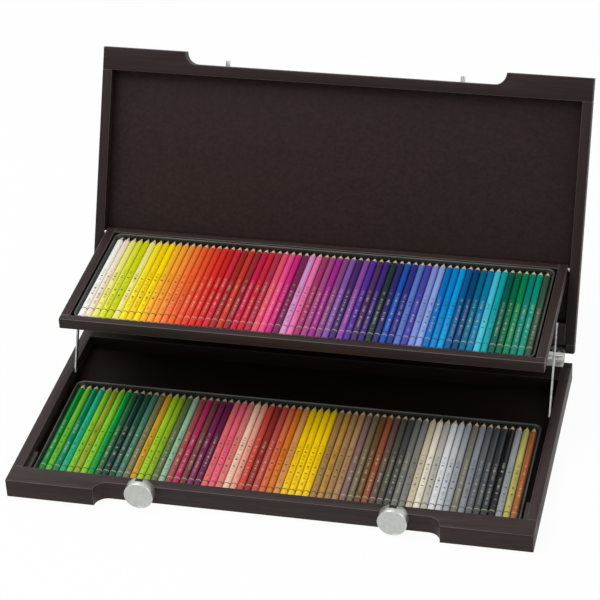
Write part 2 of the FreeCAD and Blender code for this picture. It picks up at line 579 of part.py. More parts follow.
TRAY_FLOOR_Y = (f"{TRAY_FRONT_IN} - Sizes.tray_lap + Sizes.panel_play",
                f"{TRAY_BACK_IN} + Sizes.tray_lap - Sizes.panel_play")
board("tray_floor", TRAY, span("Layout.tray_inner_half + Sizes.tray_lap - Sizes.panel_play"), TRAY_FLOOR_Y,
      (f"{TRAY_UNDER} + Sizes.tray_floor_lift", TRAY_SEAT[1]))

# Rear pivots of the tray: fixed in the lid's side boards, turning in the tray's side rails
for side, word in SIDES:
    tray_pin = new_body(f"tray_pivot_pin_{word}", LID)
    pin_start = "Layout.tray_half - Sizes.tray_pin_seat"
    pin_length = "2 * Sizes.tray_pin_seat + Sizes.tray_side_gap"
    rod_x(tray_pin, side, pin_start, pin_length, "Sizes.tray_pin_radius", "Layout.arm_y", "Layout.arm_z")
    collar_start = "Layout.tray_half + Sizes.tray_collar_air"
    collar_length = "Sizes.tray_side_gap - 2 * Sizes.tray_collar_air"
    rod_x(tray_pin, side, collar_start, collar_length, "Sizes.tray_collar_radius",
          "Layout.arm_y", "Layout.arm_z")

# Struts: flat bars with round ends between the base and the middle of the tray
for side, word in SIDES:
    strut_home = ("0", "Layout.strut_y - Layout.half_depth", "Layout.strut_z", "Layout.strut_angle")
    strut = new_body(f"strut_{word}", strut_home)
    bar_x = low_end(side, "Layout.strut_low_x", "Sizes.strut_thickness")
    sketch = new_sketch(strut, "YZ_Plane", ("0", "0", bar_x))
    draw_stadium(sketch, "Layout.strut_length", "Sizes.strut_width / 2")
    pad(strut, sketch, "Sizes.strut_thickness")
    lower_fit = "Sizes.strut_pin_radius + Sizes.running_gap"
    upper_fit = "Sizes.strut_pin_radius + Sizes.strut_open_gap"
    bore_x(strut, side, "Layout.strut_low_x", "Sizes.strut_thickness", lower_fit, "0", "0")
    bore_x(strut, side, "Layout.strut_low_x", "Sizes.strut_thickness", upper_fit, "Layout.strut_length", "0")

# Headed pins of the struts: the lower ones in the base, the upper ones in the tray
STRUT_FOOT = ("Layout.strut_y", "Layout.strut_z")
LOW_HEAD = "Layout.strut_low_x - Sizes.running_gap - Sizes.strut_head"
HIGH_HEAD = "Layout.strut_high_x + Sizes.running_gap"
for side, word in SIDES:
    low_pin = new_body(f"strut_lower_pin_{word}", BASE)
    low_length = f"Layout.inner_half + Sizes.strut_seat - ({LOW_HEAD})"
    rod_x(low_pin, side, LOW_HEAD, low_length, "Sizes.strut_pin_radius", *STRUT_FOOT)
    rod_x(low_pin, side, LOW_HEAD, "Sizes.strut_head", "Sizes.strut_head_radius", *STRUT_FOOT)
    high_pin = new_body(f"strut_upper_pin_{word}", TRAY)
    high_start = "Layout.tray_half - Sizes.strut_seat"
    high_length = f"{HIGH_HEAD} + Sizes.strut_head - ({high_start})"
    rod_x(high_pin, side, high_start, high_length, "Sizes.strut_pin_radius", *STRUT_TOP)
    rod_x(high_pin, side, HIGH_HEAD, "Sizes.strut_head", "Sizes.strut_head_radius", *STRUT_TOP)


# Tins: thin walls, rounded corners and a rolled rim
def tin(label, home, width, low_y, low_z):
    body = new_body(label, home)
    middle_y = f"{low_y} + Layout.tin_depth / 2"
    sketch = new_sketch(body, "XY_Plane", ("0", middle_y, low_z))
    draw_rounded(sketch, f"{width} - 2 * Sizes.tin_bead", "Layout.tin_depth - 2 * Sizes.tin_bead",
                 "Layout.tin_corner - Sizes.tin_bead")
    pad(body, sketch, "Layout.tin_height")
    rim_z = f"{low_z} + Layout.tin_height - Sizes.tin_bead_height"
    sketch = new_sketch(body, "XY_Plane", ("0", middle_y, rim_z))
    draw_rounded(sketch, width, "Layout.tin_depth", "Layout.tin_corner")
    pad(body, sketch, "Sizes.tin_bead_height")
    sketch = new_sketch(body, "XY_Plane", ("0", middle_y, f"{low_z} + Layout.tin_height"))
    draw_rounded(sketch, f"{width} - 2 * Layout.tin_edge", "Layout.tin_depth - 2 * Layout.tin_edge",
                 "Layout.tin_corner - Layout.tin_edge")
    pocket(body, sketch, "Layout.tin_height - Sizes.tin_sheet")


LOWER_TIN = ("Sizes.front_board + Sizes.tin_play", "Sizes.base_floor_top")
UPPER_TIN = (f"{TRAY_FRONT_IN} + Sizes.tin_play", f"{TRAY_UNDER} + Sizes.tray_floor_top")
tin("lower_tin", BASE, "Layout.lower_tin_width", *LOWER_TIN)
tin("upper_tin", TRAY, "Layout.upper_tin_width", *UPPER_TIN)


# Pencils: round barrels side by side, points to the rear, in groups along the row
def pencils(label, home, first_x, tin_place, count):
    body = new_body(label, home)
    body.AllowCompound = True
    butt_y = f"{tin_place[0]} + Layout.tin_edge + Sizes.tin_butt_room"
    axis_z = f"{tin_place[1]} + Sizes.tin_sheet + Sizes.pencil_rest_gap + Sizes.pencil_diameter / 2"
    sketch = new_sketch(body, "XY_Plane", (first_x, butt_y, axis_z))
    radius = "Sizes.pencil_diameter / 2"
    draw_outline(sketch, (
        ("0", "0"),
        (f"{radius} - Sizes.pencil_edge", "0"),
        (radius, "Sizes.pencil_edge"),
        (radius, "Sizes.pencil_length - Sizes.pencil_cone"),
        ("Sizes.lead_radius", "Sizes.pencil_length - Sizes.lead_length"),
        ("Sizes.lead_point", "Sizes.pencil_length"),
        ("0", "Sizes.pencil_length"),
    ))
    turned = body.newObject("PartDesign::Revolution", label + "_turned")
    turned.Profile = sketch
    turned.ReferenceAxis = (sketch, ["V_Axis"])
    doc.recompute()
    row_of(body, [turned], sketch, count, "Sizes.pencil_pitch")


for index in range(int(value_of("Sizes.lower_groups"))):
    start_x = f"{index} * Sizes.lower_group_count * Sizes.pencil_pitch - Layout.lower_row / 2"
    pencils(f"lower_pencils_{index + 1}", BASE, start_x, LOWER_TIN, "Sizes.lower_group_count")
for index in range(int(value_of("Sizes.upper_groups"))):
    start_x = f"{index} * Sizes.upper_group_count * Sizes.pencil_pitch - Layout.upper_row / 2"
    pencils(f"upper_pencils_{index + 1}", TRAY, start_x, UPPER_TIN, "Sizes.upper_group_count")


# Hinges: two leaves let into the back boards, with interleaved knuckles on one pin
def hinge_leaf(label, home, z, first, count):
    body = new_body(label, home)
    plate_x = "-Sizes.hinge_length / 2"
    knuckle_x = f"{plate_x} + {first} * (Layout.knuckle_length + Sizes.knuckle_gap)"
    plate = new_sketch(body, "YZ_Plane", ("0", "0", plate_x))
    draw_outline(plate, box_outline("-Layout.leaf_front", "-Layout.leaf_end", *z))
    pad(body, plate, "Sizes.hinge_length")
    bridge = new_sketch(body, "YZ_Plane", ("0", "0", knuckle_x))
    draw_outline(bridge, box_outline("-Layout.leaf_end", "0", *z))
    bridge_pad = pad(body, bridge, "Layout.knuckle_length")
    barrel = new_sketch(body, "YZ_Plane", ("0", "0", knuckle_x))
    draw_circle(barrel, "Sizes.knuckle_radius")
    barrel_pad = pad(body, barrel, "Layout.knuckle_length")
    doc.recompute()
    knuckle_row = row_of(body, [bridge_pad, barrel_pad], barrel, count, "Layout.knuckle_step")
    knuckle_row.Direction = (barrel, ["N_Axis"])
    bore = new_sketch(body, "YZ_Plane", ("0", "0", "Sizes.hinge_length / 2"))
    draw_circle(bore, "Sizes.hinge_pin_radius + Sizes.running_gap")
    pocket(body, bore, "Sizes.hinge_length")
    head = new_sketch(body, "XY_Plane", ("Layout.first_screw", "-Layout.screw_y", z[1]))
    draw_circle(head, "Sizes.screw_head_radius + Sizes.seat_gap")
    head_hole = pocket(body, head, "Sizes.hinge_leaf")
    row_of(body, [head_hole], head, "Sizes.leaf_screws", "Sizes.screw_spacing")


def hinge_screws(label, home, head_z, shank_z):
    body = new_body(label, home)
    body.AllowCompound = True
    head = new_sketch(body, "XY_Plane", ("Layout.first_screw", "-Layout.screw_y", head_z))
    draw_circle(head, "Sizes.screw_head_radius")
    head_pad = pad(body, head, "Sizes.hinge_leaf")
    shank = new_sketch(body, "XY_Plane", ("Layout.first_screw", "-Layout.screw_y", shank_z))
    draw_circle(shank, "Sizes.screw_radius")
    shank_pad = pad(body, shank, "Sizes.screw_length")
    doc.recompute()
    row_of(body, [head_pad, shank_pad], head, "Sizes.leaf_screws", "Sizes.screw_spacing")


BASE_LEAF_Z = ("-Sizes.rim_gap / 2 - Sizes.hinge_leaf", "-Sizes.rim_gap / 2")
LID_LEAF_Z = ("Sizes.rim_gap / 2", "Sizes.rim_gap / 2 + Sizes.hinge_leaf")
for side, word in SIDES:
    base_home = (f"{side} * Layout.hinge_x", LID[1], LID[2], "0")
    lid_home = (f"{side} * Layout.hinge_x", LID[1], LID[2], LID[3])
    hinge_leaf(f"hinge_base_leaf_{word}", base_home, BASE_LEAF_Z, 0, "(Sizes.knuckles + 1) / 2")
    hinge_leaf(f"hinge_lid_leaf_{word}", lid_home, LID_LEAF_Z, 1, "(Sizes.knuckles - 1) / 2")
    hinge_pin = new_body(f"hinge_pin_{word}", base_home)
    rod_x(hinge_pin, 1, "-Sizes.hinge_length / 2", "Sizes.hinge_length", "Sizes.hinge_pin_radius")
    base_shank_z = f"{BASE_LEAF_Z[0]} - Sizes.screw_length"
    hinge_screws(f"hinge_base_screws_{word}", base_home, BASE_LEAF_Z[0], base_shank_z)
    hinge_screws(f"hinge_lid_screws_{word}", lid_home, LID_LEAF_Z[0], LID_LEAF_Z[1])

# Knobs: a dished face with a raised lip, and behind it a groove and a slot that take the lid's pin
for side, word in SIDES:
    knob_x = f"{side} * Sizes.latch_half_spacing"
    knob_back = "Sizes.recess_depth - Sizes.knob_back_gap - Layout.half_depth"
    knob_home = (knob_x, knob_back, "Layout.knob_z", "0")
    knob = new_body(f"knob_{word}", knob_home)
    sketch = new_sketch(knob, "XY_Plane", ("0", "0", "0"))
    hub_bore = "Sizes.spindle_radius + Sizes.running_gap"
    hub_depth = "Sizes.spindle_reach - Sizes.knob_back_gap + Sizes.bore_end_room"
    draw_outline(sketch, (
        (hub_bore, "0"),
        ("Layout.hub_radius", "0"),
        ("Layout.hub_radius", "-Layout.groove_depth"),
        ("Layout.ring_inner", "-Layout.groove_depth"),
        ("Layout.ring_inner", "0"),
        ("Layout.knob_radius", "0"),
        ("Layout.knob_radius", "Sizes.knob_edge - Layout.knob_depth"),
        ("Layout.knob_radius - Sizes.knob_edge", "-Layout.knob_depth"),
        ("Layout.knob_radius - Sizes.knob_lip", "-Layout.knob_depth"),
        ("Layout.knob_radius - Sizes.knob_lip", "Sizes.knob_lip_height - Layout.knob_depth"),
        ("0", "Sizes.knob_dish - Layout.knob_depth"),
        ("0", less(hub_depth)),
        (hub_bore, less(hub_depth)),
    ))
    turned = knob.newObject("PartDesign::Revolution", f"knob_{word}_turned")
    turned.Profile = sketch
    turned.ReferenceAxis = (sketch, ["V_Axis"])
    slot_x = span("Sizes.latch_pin_radius + Sizes.latch_slot_room")
    slot_z = ("Sizes.latch_circle", "Layout.knob_radius + Sizes.knob_wall")
    trim(knob, slot_x, ("-Layout.groove_depth", "0"), slot_z)
    spindle = new_body(f"knob_spindle_{word}", BASE)
    spindle_back = "Sizes.recess_depth + Sizes.spindle_seat"
    sketch = new_sketch(spindle, "XZ_Plane", (knob_x, "Layout.knob_z", less(spindle_back)))
    draw_circle(sketch, "Sizes.spindle_radius")
    pad(spindle, sketch, "Sizes.spindle_seat + Sizes.spindle_reach")

# Checks, then one file for each piece
doc.recompute()
pieces = [item for item in doc.Objects if item.TypeId == "PartDesign::Body"]
for item in doc.Objects:
    if "Invalid" in item.State or "Error" in item.State:
        raise RuntimeError(f"{item.Label} has failed: {item.State}")
for item in pieces:
    if item.Shape.isNull() or not item.Shape.isValid() or not item.Shape.Solids:
        raise RuntimeError(f"{item.Label} has no valid solid")
os.makedirs("parts", exist_ok=True)
for item in pieces:
    item.Shape.exportStep(f"parts/{item.Label}.step")
print(len(pieces), "pieces written")
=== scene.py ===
import math
import random

import bpy
from mathutils import Matrix, Vector


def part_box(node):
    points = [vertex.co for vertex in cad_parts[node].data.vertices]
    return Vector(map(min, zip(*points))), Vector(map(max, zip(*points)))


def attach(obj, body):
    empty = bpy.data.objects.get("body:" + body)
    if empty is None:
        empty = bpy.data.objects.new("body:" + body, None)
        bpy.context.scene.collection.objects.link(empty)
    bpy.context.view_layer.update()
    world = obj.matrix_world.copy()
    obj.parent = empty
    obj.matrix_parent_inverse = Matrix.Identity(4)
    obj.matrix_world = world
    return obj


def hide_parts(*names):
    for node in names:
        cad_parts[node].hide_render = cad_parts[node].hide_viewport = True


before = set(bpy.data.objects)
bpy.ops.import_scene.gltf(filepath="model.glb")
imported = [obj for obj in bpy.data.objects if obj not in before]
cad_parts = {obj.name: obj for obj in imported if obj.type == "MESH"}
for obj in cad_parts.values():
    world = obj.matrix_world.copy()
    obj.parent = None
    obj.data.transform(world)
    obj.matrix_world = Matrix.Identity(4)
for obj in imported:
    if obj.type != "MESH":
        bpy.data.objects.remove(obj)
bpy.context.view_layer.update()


# The white table on which the case stands open, with a wide soft lamp high up on the left
# and a smaller one to the right, which draws the bright line down the case's right edge.
TABLE_SIZE = 14.0
TABLE_DROP = 0.0002
TABLE_WHITE = (0.92, 0.92, 0.92, 1.0)
TABLE_GLOW_SHARE = 0.95
ROOM_LIGHT = (0.5, 0.5, 0.51, 1.0)
ROOM_WHITE = (1.0, 1.0, 1.0, 1.0)
EYE_PLACE = (0.551698, -2.092612, 1.619768)
EYE_TURN = math.radians(14.4507)
EYE_DIP = math.radians(33.5513)
EYE_ROLL = math.radians(-3.1232)
EYE_LENS = 142.791
EYE_SENSOR = 36.0
LAMPS = {  # stand, aim, width, height and power
    "upper_left_lamp": ((-0.85, -0.05, 2.1), (0.0, 0.0, 0.0), 1.7, 1.3, 27.0),
    "right_lamp": ((2.1, 0.3, 1.1), (0.0, 0.0, 0.05), 1.2, 0.9, 7.0),
}


def wire(tree, socket, value):
    """Sets a socket to a plain value, or links it to the output that is given."""
    if isinstance(value, bpy.types.NodeSocket):
        tree.links.new(value, socket)
    else:
        socket.default_value = value


def place(tree, kind, inputs, **settings):
    """Adds one shader node, sets it up, and wires its inputs by name or by count."""
    node = tree.nodes.new("ShaderNode" + kind)
    for name, value in settings.items():
        setattr(node, name, value)
    for key, value in inputs.items():
        wire(tree, node.inputs[key], value)
    return node


def calc(tree, operation, first, second=0.0, third=0.0):
    """One step of arithmetic between shader values."""
    node = place(tree, "Math", {0: first, 1: second, 2: third}, operation=operation)
    return node.outputs[0]


def mixed(tree, factor, first, second, blend="MIX"):
    """One colour laid over another by a factor."""
    sides = {0: factor, 6: first, 7: second}
    return place(tree, "Mix", sides, data_type="RGBA", blend_type=blend).outputs[2]


def plain_sight(tree):
    """1 for a ray that shows the white room itself: seen, mirrored or through glass."""
    ray = place(tree, "LightPath", {})
    seen = calc(tree, "MAXIMUM", ray.outputs["Is Camera Ray"], ray.outputs["Is Glossy Ray"])
    return calc(tree, "MAXIMUM", seen, ray.outputs["Is Transmission Ray"])


bpy.ops.object.select_all(action="DESELECT")
bpy.context.scene.view_settings.view_transform = "Standard"
room = bpy.data.worlds.new("white_room")
bpy.context.scene.world = room
room.use_nodes = True
room_tree = room.node_tree
room_air = room_tree.nodes["Background"]
room_colour = mixed(room_tree, plain_sight(room_tree), ROOM_LIGHT, ROOM_WHITE)
wire(room_tree, room_air.inputs["Color"], room_colour)

table_paint = bpy.data.materials.new("white_table")
table_paint.use_nodes = True
table_tree = table_paint.node_tree
table_tree.nodes.clear()
table_matt = place(table_tree, "BsdfDiffuse", {"Color": TABLE_WHITE})
table_glow = place(table_tree, "Emission", {"Color": ROOM_WHITE, "Strength": 1.0})
table_share = calc(table_tree, "MULTIPLY", plain_sight(table_tree), TABLE_GLOW_SHARE)
table_mix = place(
    table_tree, "MixShader", {0: table_share, 1: table_matt.outputs[0], 2: table_glow.outputs[0]}
)
place(table_tree, "OutputMaterial", {"Surface": table_mix.outputs[0]})
bpy.ops.mesh.primitive_plane_add(size=TABLE_SIZE, location=(0.0, 0.0, -TABLE_DROP))
table_top = bpy.context.object
table_top.name = "white_table_top"
bpy.ops.object.transform_apply(location=True)
table_top.data.materials.append(table_paint)

for lamp_name, (stand, aim, wide, high, power) in LAMPS.items():
    bpy.ops.object.light_add(type="AREA", location=stand)
    lamp = bpy.context.object
    lamp.name = lamp_name
    lamp.rotation_euler = (Vector(stand) - Vector(aim)).to_track_quat("Z", "Y").to_euler()
    lamp.data.shape = "RECTANGLE"
    lamp.data.size = wide
    lamp.data.size_y = high
    lamp.data.energy = power

bpy.ops.object.camera_add()
eye = bpy.context.object
eye.name = "eye"
eye.data.lens = EYE_LENS
eye.data.sensor_width = EYE_SENSOR
eye_aim = Matrix.Rotation(EYE_TURN, 4, "Z") @ Matrix.Rotation(math.pi / 2 - EYE_DIP, 4, "X")
eye.matrix_world = Matrix.Translation(EYE_PLACE) @ eye_aim @ Matrix.Rotation(EYE_ROLL, 4, "Z")
bpy.context.scene.camera = eye


# The lower case: a front board with a long recess cut in its face, two side boards, a back
# board and an inner hinge board, glued up from solid hardwood round a thin floor panel,
# stained nearly black and rubbed with oil, so that the eased edges shine a little. The
# eased edges are also painted lighter: partly rubbed wear, partly a painted highlight.
CASE_EASE = 0.0005
EASE_SEGMENTS = 2
SHORTEST_EASED = 0.0009
EASE_ROUND = 0.5
SHARP = math.radians(30)
SMOOTH = math.radians(35)
FLAT = math.radians(0.5)
DOUBLE = 0.000002
TOUCH = 0.00002
ALONG_X = (0.0, 0.0, 0.0)
ALONG_Y = (0.0, 0.0, math.radians(-90))
EVEN = (1.0, 1.0, 1.0)
TAKES = {"Vector": "Vector", "Dark": "Color", "Light": "Color", "Rough": "Float"}
GIVES = {"Color": "Color", "Roughness": "Float", "Height": "Float"}
GRAIN_STREAKS = (9, 330, 330)
STREAK_DETAIL = 3.0
STREAK_LIMITS = (0.3, 0.7)
GRAIN_PORES = (70, 1500, 1500)
PORE_DETAIL = 2.0
PORE_LIMITS = (0.56, 0.72)
GRAIN_CLOUDS = 14.0
CLOUD_DETAIL = 2.0
STREAK_SHARE = 0.7
STREAK_RISE = 0.4
TONE_DULLS = 0.1
PORE_COLOUR = (0.004, 0.003, 0.003, 1.0)
PORE_SHOWS = 0.45
PORE_DULLS = 0.12
PORE_SINKS = 0.8
WOOD_RELIEF = (0.22, 0.0003)
WOOD_ROUGH = 0.45
WOOD_GLOSS = 0.16
RUBBED_ROUGH = 0.34
RUBBED_GLOSS = 0.4
# Painted light and shade: the case, lid and tray are one stained wood. The case's tone is the lit
# copy, painted lighter than the lid's and tray's for the light thrown up from the white table.
STAIN_LIT = ((47, 37, 36), (64, 54, 52))
# The eased edges are painted lighter: partly rubbed wear, partly a painted highlight.
STAIN_EDGES_WORN_AND_LIT = ((64, 53, 51), (92, 81, 78))
# Painted shade: the wood inside the case and under the tin in the tray is painted darker, for the
# shade that falls there.
INSIDE_SHADED = ((20, 12, 9), (32, 22, 18))
INSIDE_ROUGH = 0.5
INSIDE_GLOSS = 0.08


def paint(red, green, blue):
    """A colour as the eye names it, from 0 to 255 a channel, as the light that it gives back."""
    tones = []
    for part in (red, green, blue):
        share = part / 255
        tones.append(share / 12.92 if share <= 0.04045 else ((share + 0.055) / 1.055) ** 2.4)
    return (*tones, 1.0)


def new_group(name):
    """An effect of its own: a node group from a place and two tones to a look."""
    tree = bpy.data.node_groups.new(name, "ShaderNodeTree")
    for socket, kind in TAKES.items():
        tree.interface.new_socket(socket, in_out="INPUT", socket_type="NodeSocket" + kind)
    for socket, kind in GIVES.items():
        tree.interface.new_socket(socket, in_out="OUTPUT", socket_type="NodeSocket" + kind)
    return tree, tree.nodes.new("NodeGroupInput"), tree.nodes.new("NodeGroupOutput")


def new_material(name):
    """A material with its shader ready to be wired."""
    material = bpy.data.materials.new(name)
    material.use_nodes = True
    return material, material.node_tree, material.node_tree.nodes["Principled BSDF"]


def own_place(tree, turn=ALONG_X, scale=EVEN):
    """Where a point lies in the piece, turned so that the pattern runs the way it should."""
    spot = place(tree, "TexCoord", {}).outputs["Object"]
    return place(tree, "Mapping", {"Vector": spot, "Rotation": turn, "Scale": scale}).outputs[0]


def noise(tree, spot, scale, detail):
    """A cloudy value at a place, from 0 to 1."""
    return place(
        tree, "TexNoise", {"Vector": spot, "Scale": scale, "Detail": detail}
    ).outputs["Fac"]


def drawn_noise(tree, spot, runs, detail):
    """The same, drawn out into streaks by so many runs a metre along each axis."""
    drawn = place(tree, "Mapping", {"Vector": spot, "Scale": runs}).outputs[0]
    return noise(tree, drawn, 1.0, detail)


def spread(tree, value, limits):
    """Spreads the part of a value between two limits over the full range of 0 to 1."""
    sides = {0: value, 1: limits[0], 2: limits[1], 3: 0.0, 4: 1.0}
    return place(tree, "MapRange", sides).outputs[0]


def new_finish(name, effect, spot_turn, spot_scale, tones, rough, relief):
    """A material whose colour, roughness and relief come from one of the effects."""
    material, tree, shader = new_material(name)
    node = tree.nodes.new("ShaderNodeGroup")
    node.node_tree = effect
    wire(tree, node.inputs["Vector"], own_place(tree, spot_turn, spot_scale))
    wire(tree, node.inputs["Dark"], paint(*tones[0]))
    wire(tree, node.inputs["Light"], paint(*tones[1]))
    wire(tree, node.inputs["Rough"], rough)
    sides = {"Height": node.outputs["Height"], "Strength": relief[0], "Distance": relief[1]}
    wire(tree, shader.inputs["Base Color"], node.outputs["Color"])
    wire(tree, shader.inputs["Roughness"], node.outputs["Roughness"])
    wire(tree, shader.inputs["Normal"], place(tree, "Bump", sides).outputs[0])
    return material, shader


def make_grain_group():
    """Stained grain: long soft streaks, short dark pores and a slow change of tone."""
    tree, given, made = new_group("stained_grain")
    spot = given.outputs["Vector"]
    streaks = spread(tree, drawn_noise(tree, spot, GRAIN_STREAKS, STREAK_DETAIL), STREAK_LIMITS)
    pores = spread(tree, drawn_noise(tree, spot, GRAIN_PORES, PORE_DETAIL), PORE_LIMITS)
    cloud = calc(tree, "MULTIPLY", noise(tree, spot, GRAIN_CLOUDS, CLOUD_DETAIL), 1 - STREAK_SHARE)
    tone = calc(tree, "MULTIPLY_ADD", streaks, STREAK_SHARE, cloud)
    body = mixed(tree, tone, given.outputs["Dark"], given.outputs["Light"])
    pored = mixed(tree, calc(tree, "MULTIPLY", pores, PORE_SHOWS), body, PORE_COLOUR)
    rough = calc(tree, "MULTIPLY_ADD", tone, TONE_DULLS, given.outputs["Rough"])
    rise = calc(tree, "MULTIPLY", streaks, STREAK_RISE)
    wire(tree, made.inputs["Color"], pored)
    wire(tree, made.inputs["Roughness"], calc(tree, "MULTIPLY_ADD", pores, PORE_DULLS, rough))
    wire(tree, made.inputs["Height"], calc(tree, "MULTIPLY_ADD", pores, -PORE_SINKS, rise))
    return tree


stained_grain = make_grain_group()


def stained_wood(name, turn, tones, rough=WOOD_ROUGH, gloss=WOOD_GLOSS, scale=EVEN):
    """Hardwood stained nearly black, its grain along the board."""
    material, shader = new_finish(name, stained_grain, turn, scale, tones, rough, WOOD_RELIEF)
    shader.inputs["Specular IOR Level"].default_value = gloss
    return material


def board_woods(name, turn, tones, worn_lit_edges):
    """The wood of a board's faces, and the same wood lighter on its eased edges: partly rubbed wear,
    partly a painted highlight.
    """
    edges = stained_wood(name + "_edge", turn, worn_lit_edges, RUBBED_ROUGH, RUBBED_GLOSS)
    return stained_wood(name, turn, tones), edges


def hold(piece):
    """Makes one piece the only one selected, and the one that is worked on."""
    bpy.ops.object.select_all(action="DESELECT")
    piece.select_set(True)
    bpy.context.view_layer.objects.active = piece


def choose(piece, faces=None, edges=None):
    """Opens a piece for editing with only those faces or edges selected that pass a test."""
    if bpy.context.mode != "EDIT_MESH":
        bpy.ops.object.mode_set(mode="EDIT")
    bpy.ops.mesh.select_mode(type="EDGE" if edges else "FACE")
    bpy.ops.mesh.select_all(action="DESELECT")
    bpy.ops.object.mode_set(mode="OBJECT")
    if faces:
        for face in piece.data.polygons:
            face.select = faces(face.center, face.normal)
    if edges:
        points = piece.data.vertices
        for edge in piece.data.edges:
            edge.select = edges(points[edge.vertices[0]].co, points[edge.vertices[1]].co)
    bpy.ops.object.mode_set(mode="EDIT")


def copy_of(node):
    """A part's own mesh as a new piece, with its doubles merged and its flat faces whole."""
    piece = bpy.data.objects.new(node + "_finished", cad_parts[node].data.copy())
    bpy.context.scene.collection.objects.link(piece)
    piece.data.materials.clear()
    hold(piece)
    bpy.ops.mesh.customdata_custom_splitnormals_clear()
    bpy.ops.object.mode_set(mode="EDIT")
    bpy.ops.mesh.select_all(action="SELECT")
    bpy.ops.mesh.remove_doubles(threshold=DOUBLE)
    bpy.ops.mesh.dissolve_limited(angle_limit=FLAT)
    bpy.ops.object.mode_set(mode="OBJECT")
    return piece


def ease(piece, width, spared=None, shortest=SHORTEST_EASED):
    """Eases the sharp edges of a piece. Spared edges, such as those of a glued joint, stay."""
    bpy.ops.object.mode_set(mode="EDIT")
    bpy.ops.mesh.select_mode(type="EDGE")
    bpy.ops.mesh.select_all(action="DESELECT")
    bpy.ops.mesh.edges_select_sharp(sharpness=SHARP)
    bpy.ops.object.mode_set(mode="OBJECT")
    points = piece.data.vertices
    for edge in piece.data.edges:
        start = points[edge.vertices[0]].co
        end = points[edge.vertices[1]].co
        if (end - start).length < shortest or (spared and spared(start, end)):
            edge.select = False
    bpy.ops.object.mode_set(mode="EDIT")
    bpy.ops.mesh.bevel(offset=width, segments=EASE_SEGMENTS, profile=EASE_ROUND, material=1)
    bpy.ops.object.mode_set(mode="OBJECT")
    bpy.ops.object.shade_smooth_by_angle(angle=SMOOTH)


def fit(piece, node, body):
    """Puts a finished piece in the place of its part, hiding the part, and on its body."""
    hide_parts(node)
    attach(piece, body)


def in_plane(axis, value):
    """A test for edges that lie in one plane across an axis, such as the plane of a joint."""
    return lambda start, end: abs(start[axis] - value) < TOUCH and abs(end[axis] - value) < TOUCH


def finish_board(node, body, woods, spared=None):
    """A board from its part: faces in the first wood, eased edges in the second."""
    piece = copy_of(node)
    for wood in woods:
        piece.data.materials.append(wood)
    ease(piece, CASE_EASE, spared)
    fit(piece, node, body)


wood_across = board_woods("stained_wood_across", ALONG_X, STAIN_LIT, STAIN_EDGES_WORN_AND_LIT)
wood_along = board_woods("stained_wood_along", ALONG_Y, STAIN_LIT, STAIN_EDGES_WORN_AND_LIT)
shaded_inside_wood = stained_wood("shaded_inside_wood", ALONG_X, INSIDE_SHADED, INSIDE_ROUGH, INSIDE_GLOSS)
base_front_joint = in_plane(1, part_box("base_front_board")[1].y)
base_back_joint = in_plane(1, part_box("base_back_board")[0].y)


def at_base_joints(start, end):
    """Edges of the glued butt joints at the front and the back of the lower case."""
    return base_front_joint(start, end) or base_back_joint(start, end)


finish_board("base_front_board", "base", wood_across, at_base_joints)
finish_board("base_side_board_left", "base", wood_along, at_base_joints)
finish_board("base_side_board_right", "base", wood_along, at_base_joints)
finish_board("base_back_board", "base", wood_across, at_base_joints)
finish_board("base_hinge_board", "base", (shaded_inside_wood, wood_across[0]), at_base_joints)
finish_board("base_floor", "base", (shaded_inside_wood, shaded_inside_wood))


# Two small blocks glued into the front corners of the lower case, one at each side. They
# are stained like the case but left unoiled, and the closed tray comes to rest on them.
BLOCK = ((58, 52, 49), (74, 68, 64))
# The blocks' eased edges are painted lighter: partly rubbed wear, partly a painted highlight.
BLOCK_EDGES_WORN_AND_LIT = ((74, 68, 64), (90, 84, 80))
BLOCK_ROUGH = 0.6
BLOCK_RUBBED_ROUGH = 0.55
BLOCK_GLOSS = 0.3
block_woods = (
    stained_wood("rest_block_wood", ALONG_Y, BLOCK, BLOCK_ROUGH, BLOCK_GLOSS),
    stained_wood("rest_block_wood_edge", ALONG_Y, BLOCK_EDGES_WORN_AND_LIT, BLOCK_RUBBED_ROUGH, BLOCK_GLOSS),
)
for side in ("left", "right"):
    finish_board("rest_block_" + side, "base", block_woods)


# The lower tin: a flat tray pressed from thin steel sheet with round corners, its rim
# rolled outwards to a bead, sprayed dark grey-green. It stands loose on the case's floor.
TIN_BEAD_REACH = 0.0017
TIN_BEAD_HEIGHT = 0.0013
TIN_SHEET = 0.0005
TIN_FOOT = 0.0004
TIN_SIDE_SPLAY = 0.0039
TIN_CORNER = 0.009498
TIN_CORNER_SEGMENTS = 9
TIN_BEAD_STEPS = 5
TIN_GREEN = ((24, 27, 24), (38, 41, 37))
# The rim's lighter colour is partly worn paint on the rolled bead, partly a painted highlight.
TIN_RIM_WORN_AND_LIT = ((62, 66, 61), (86, 91, 84))
TIN_ROUGH = 0.42
TIN_RIM_ROUGH = 0.35
TIN_RIM_METAL = 0.2
SPRAY_PEEL = 900.0
PEEL_DETAIL = 2.0
SPRAY_CLOUDS = 30.0
SPRAY_CLOUD_DETAIL = 4.0
SPRAY_LIMITS = (0.3, 0.7)
SPRAY_DULLS = 0.12
SPRAY_RELIEF = (0.1, 0.0001)


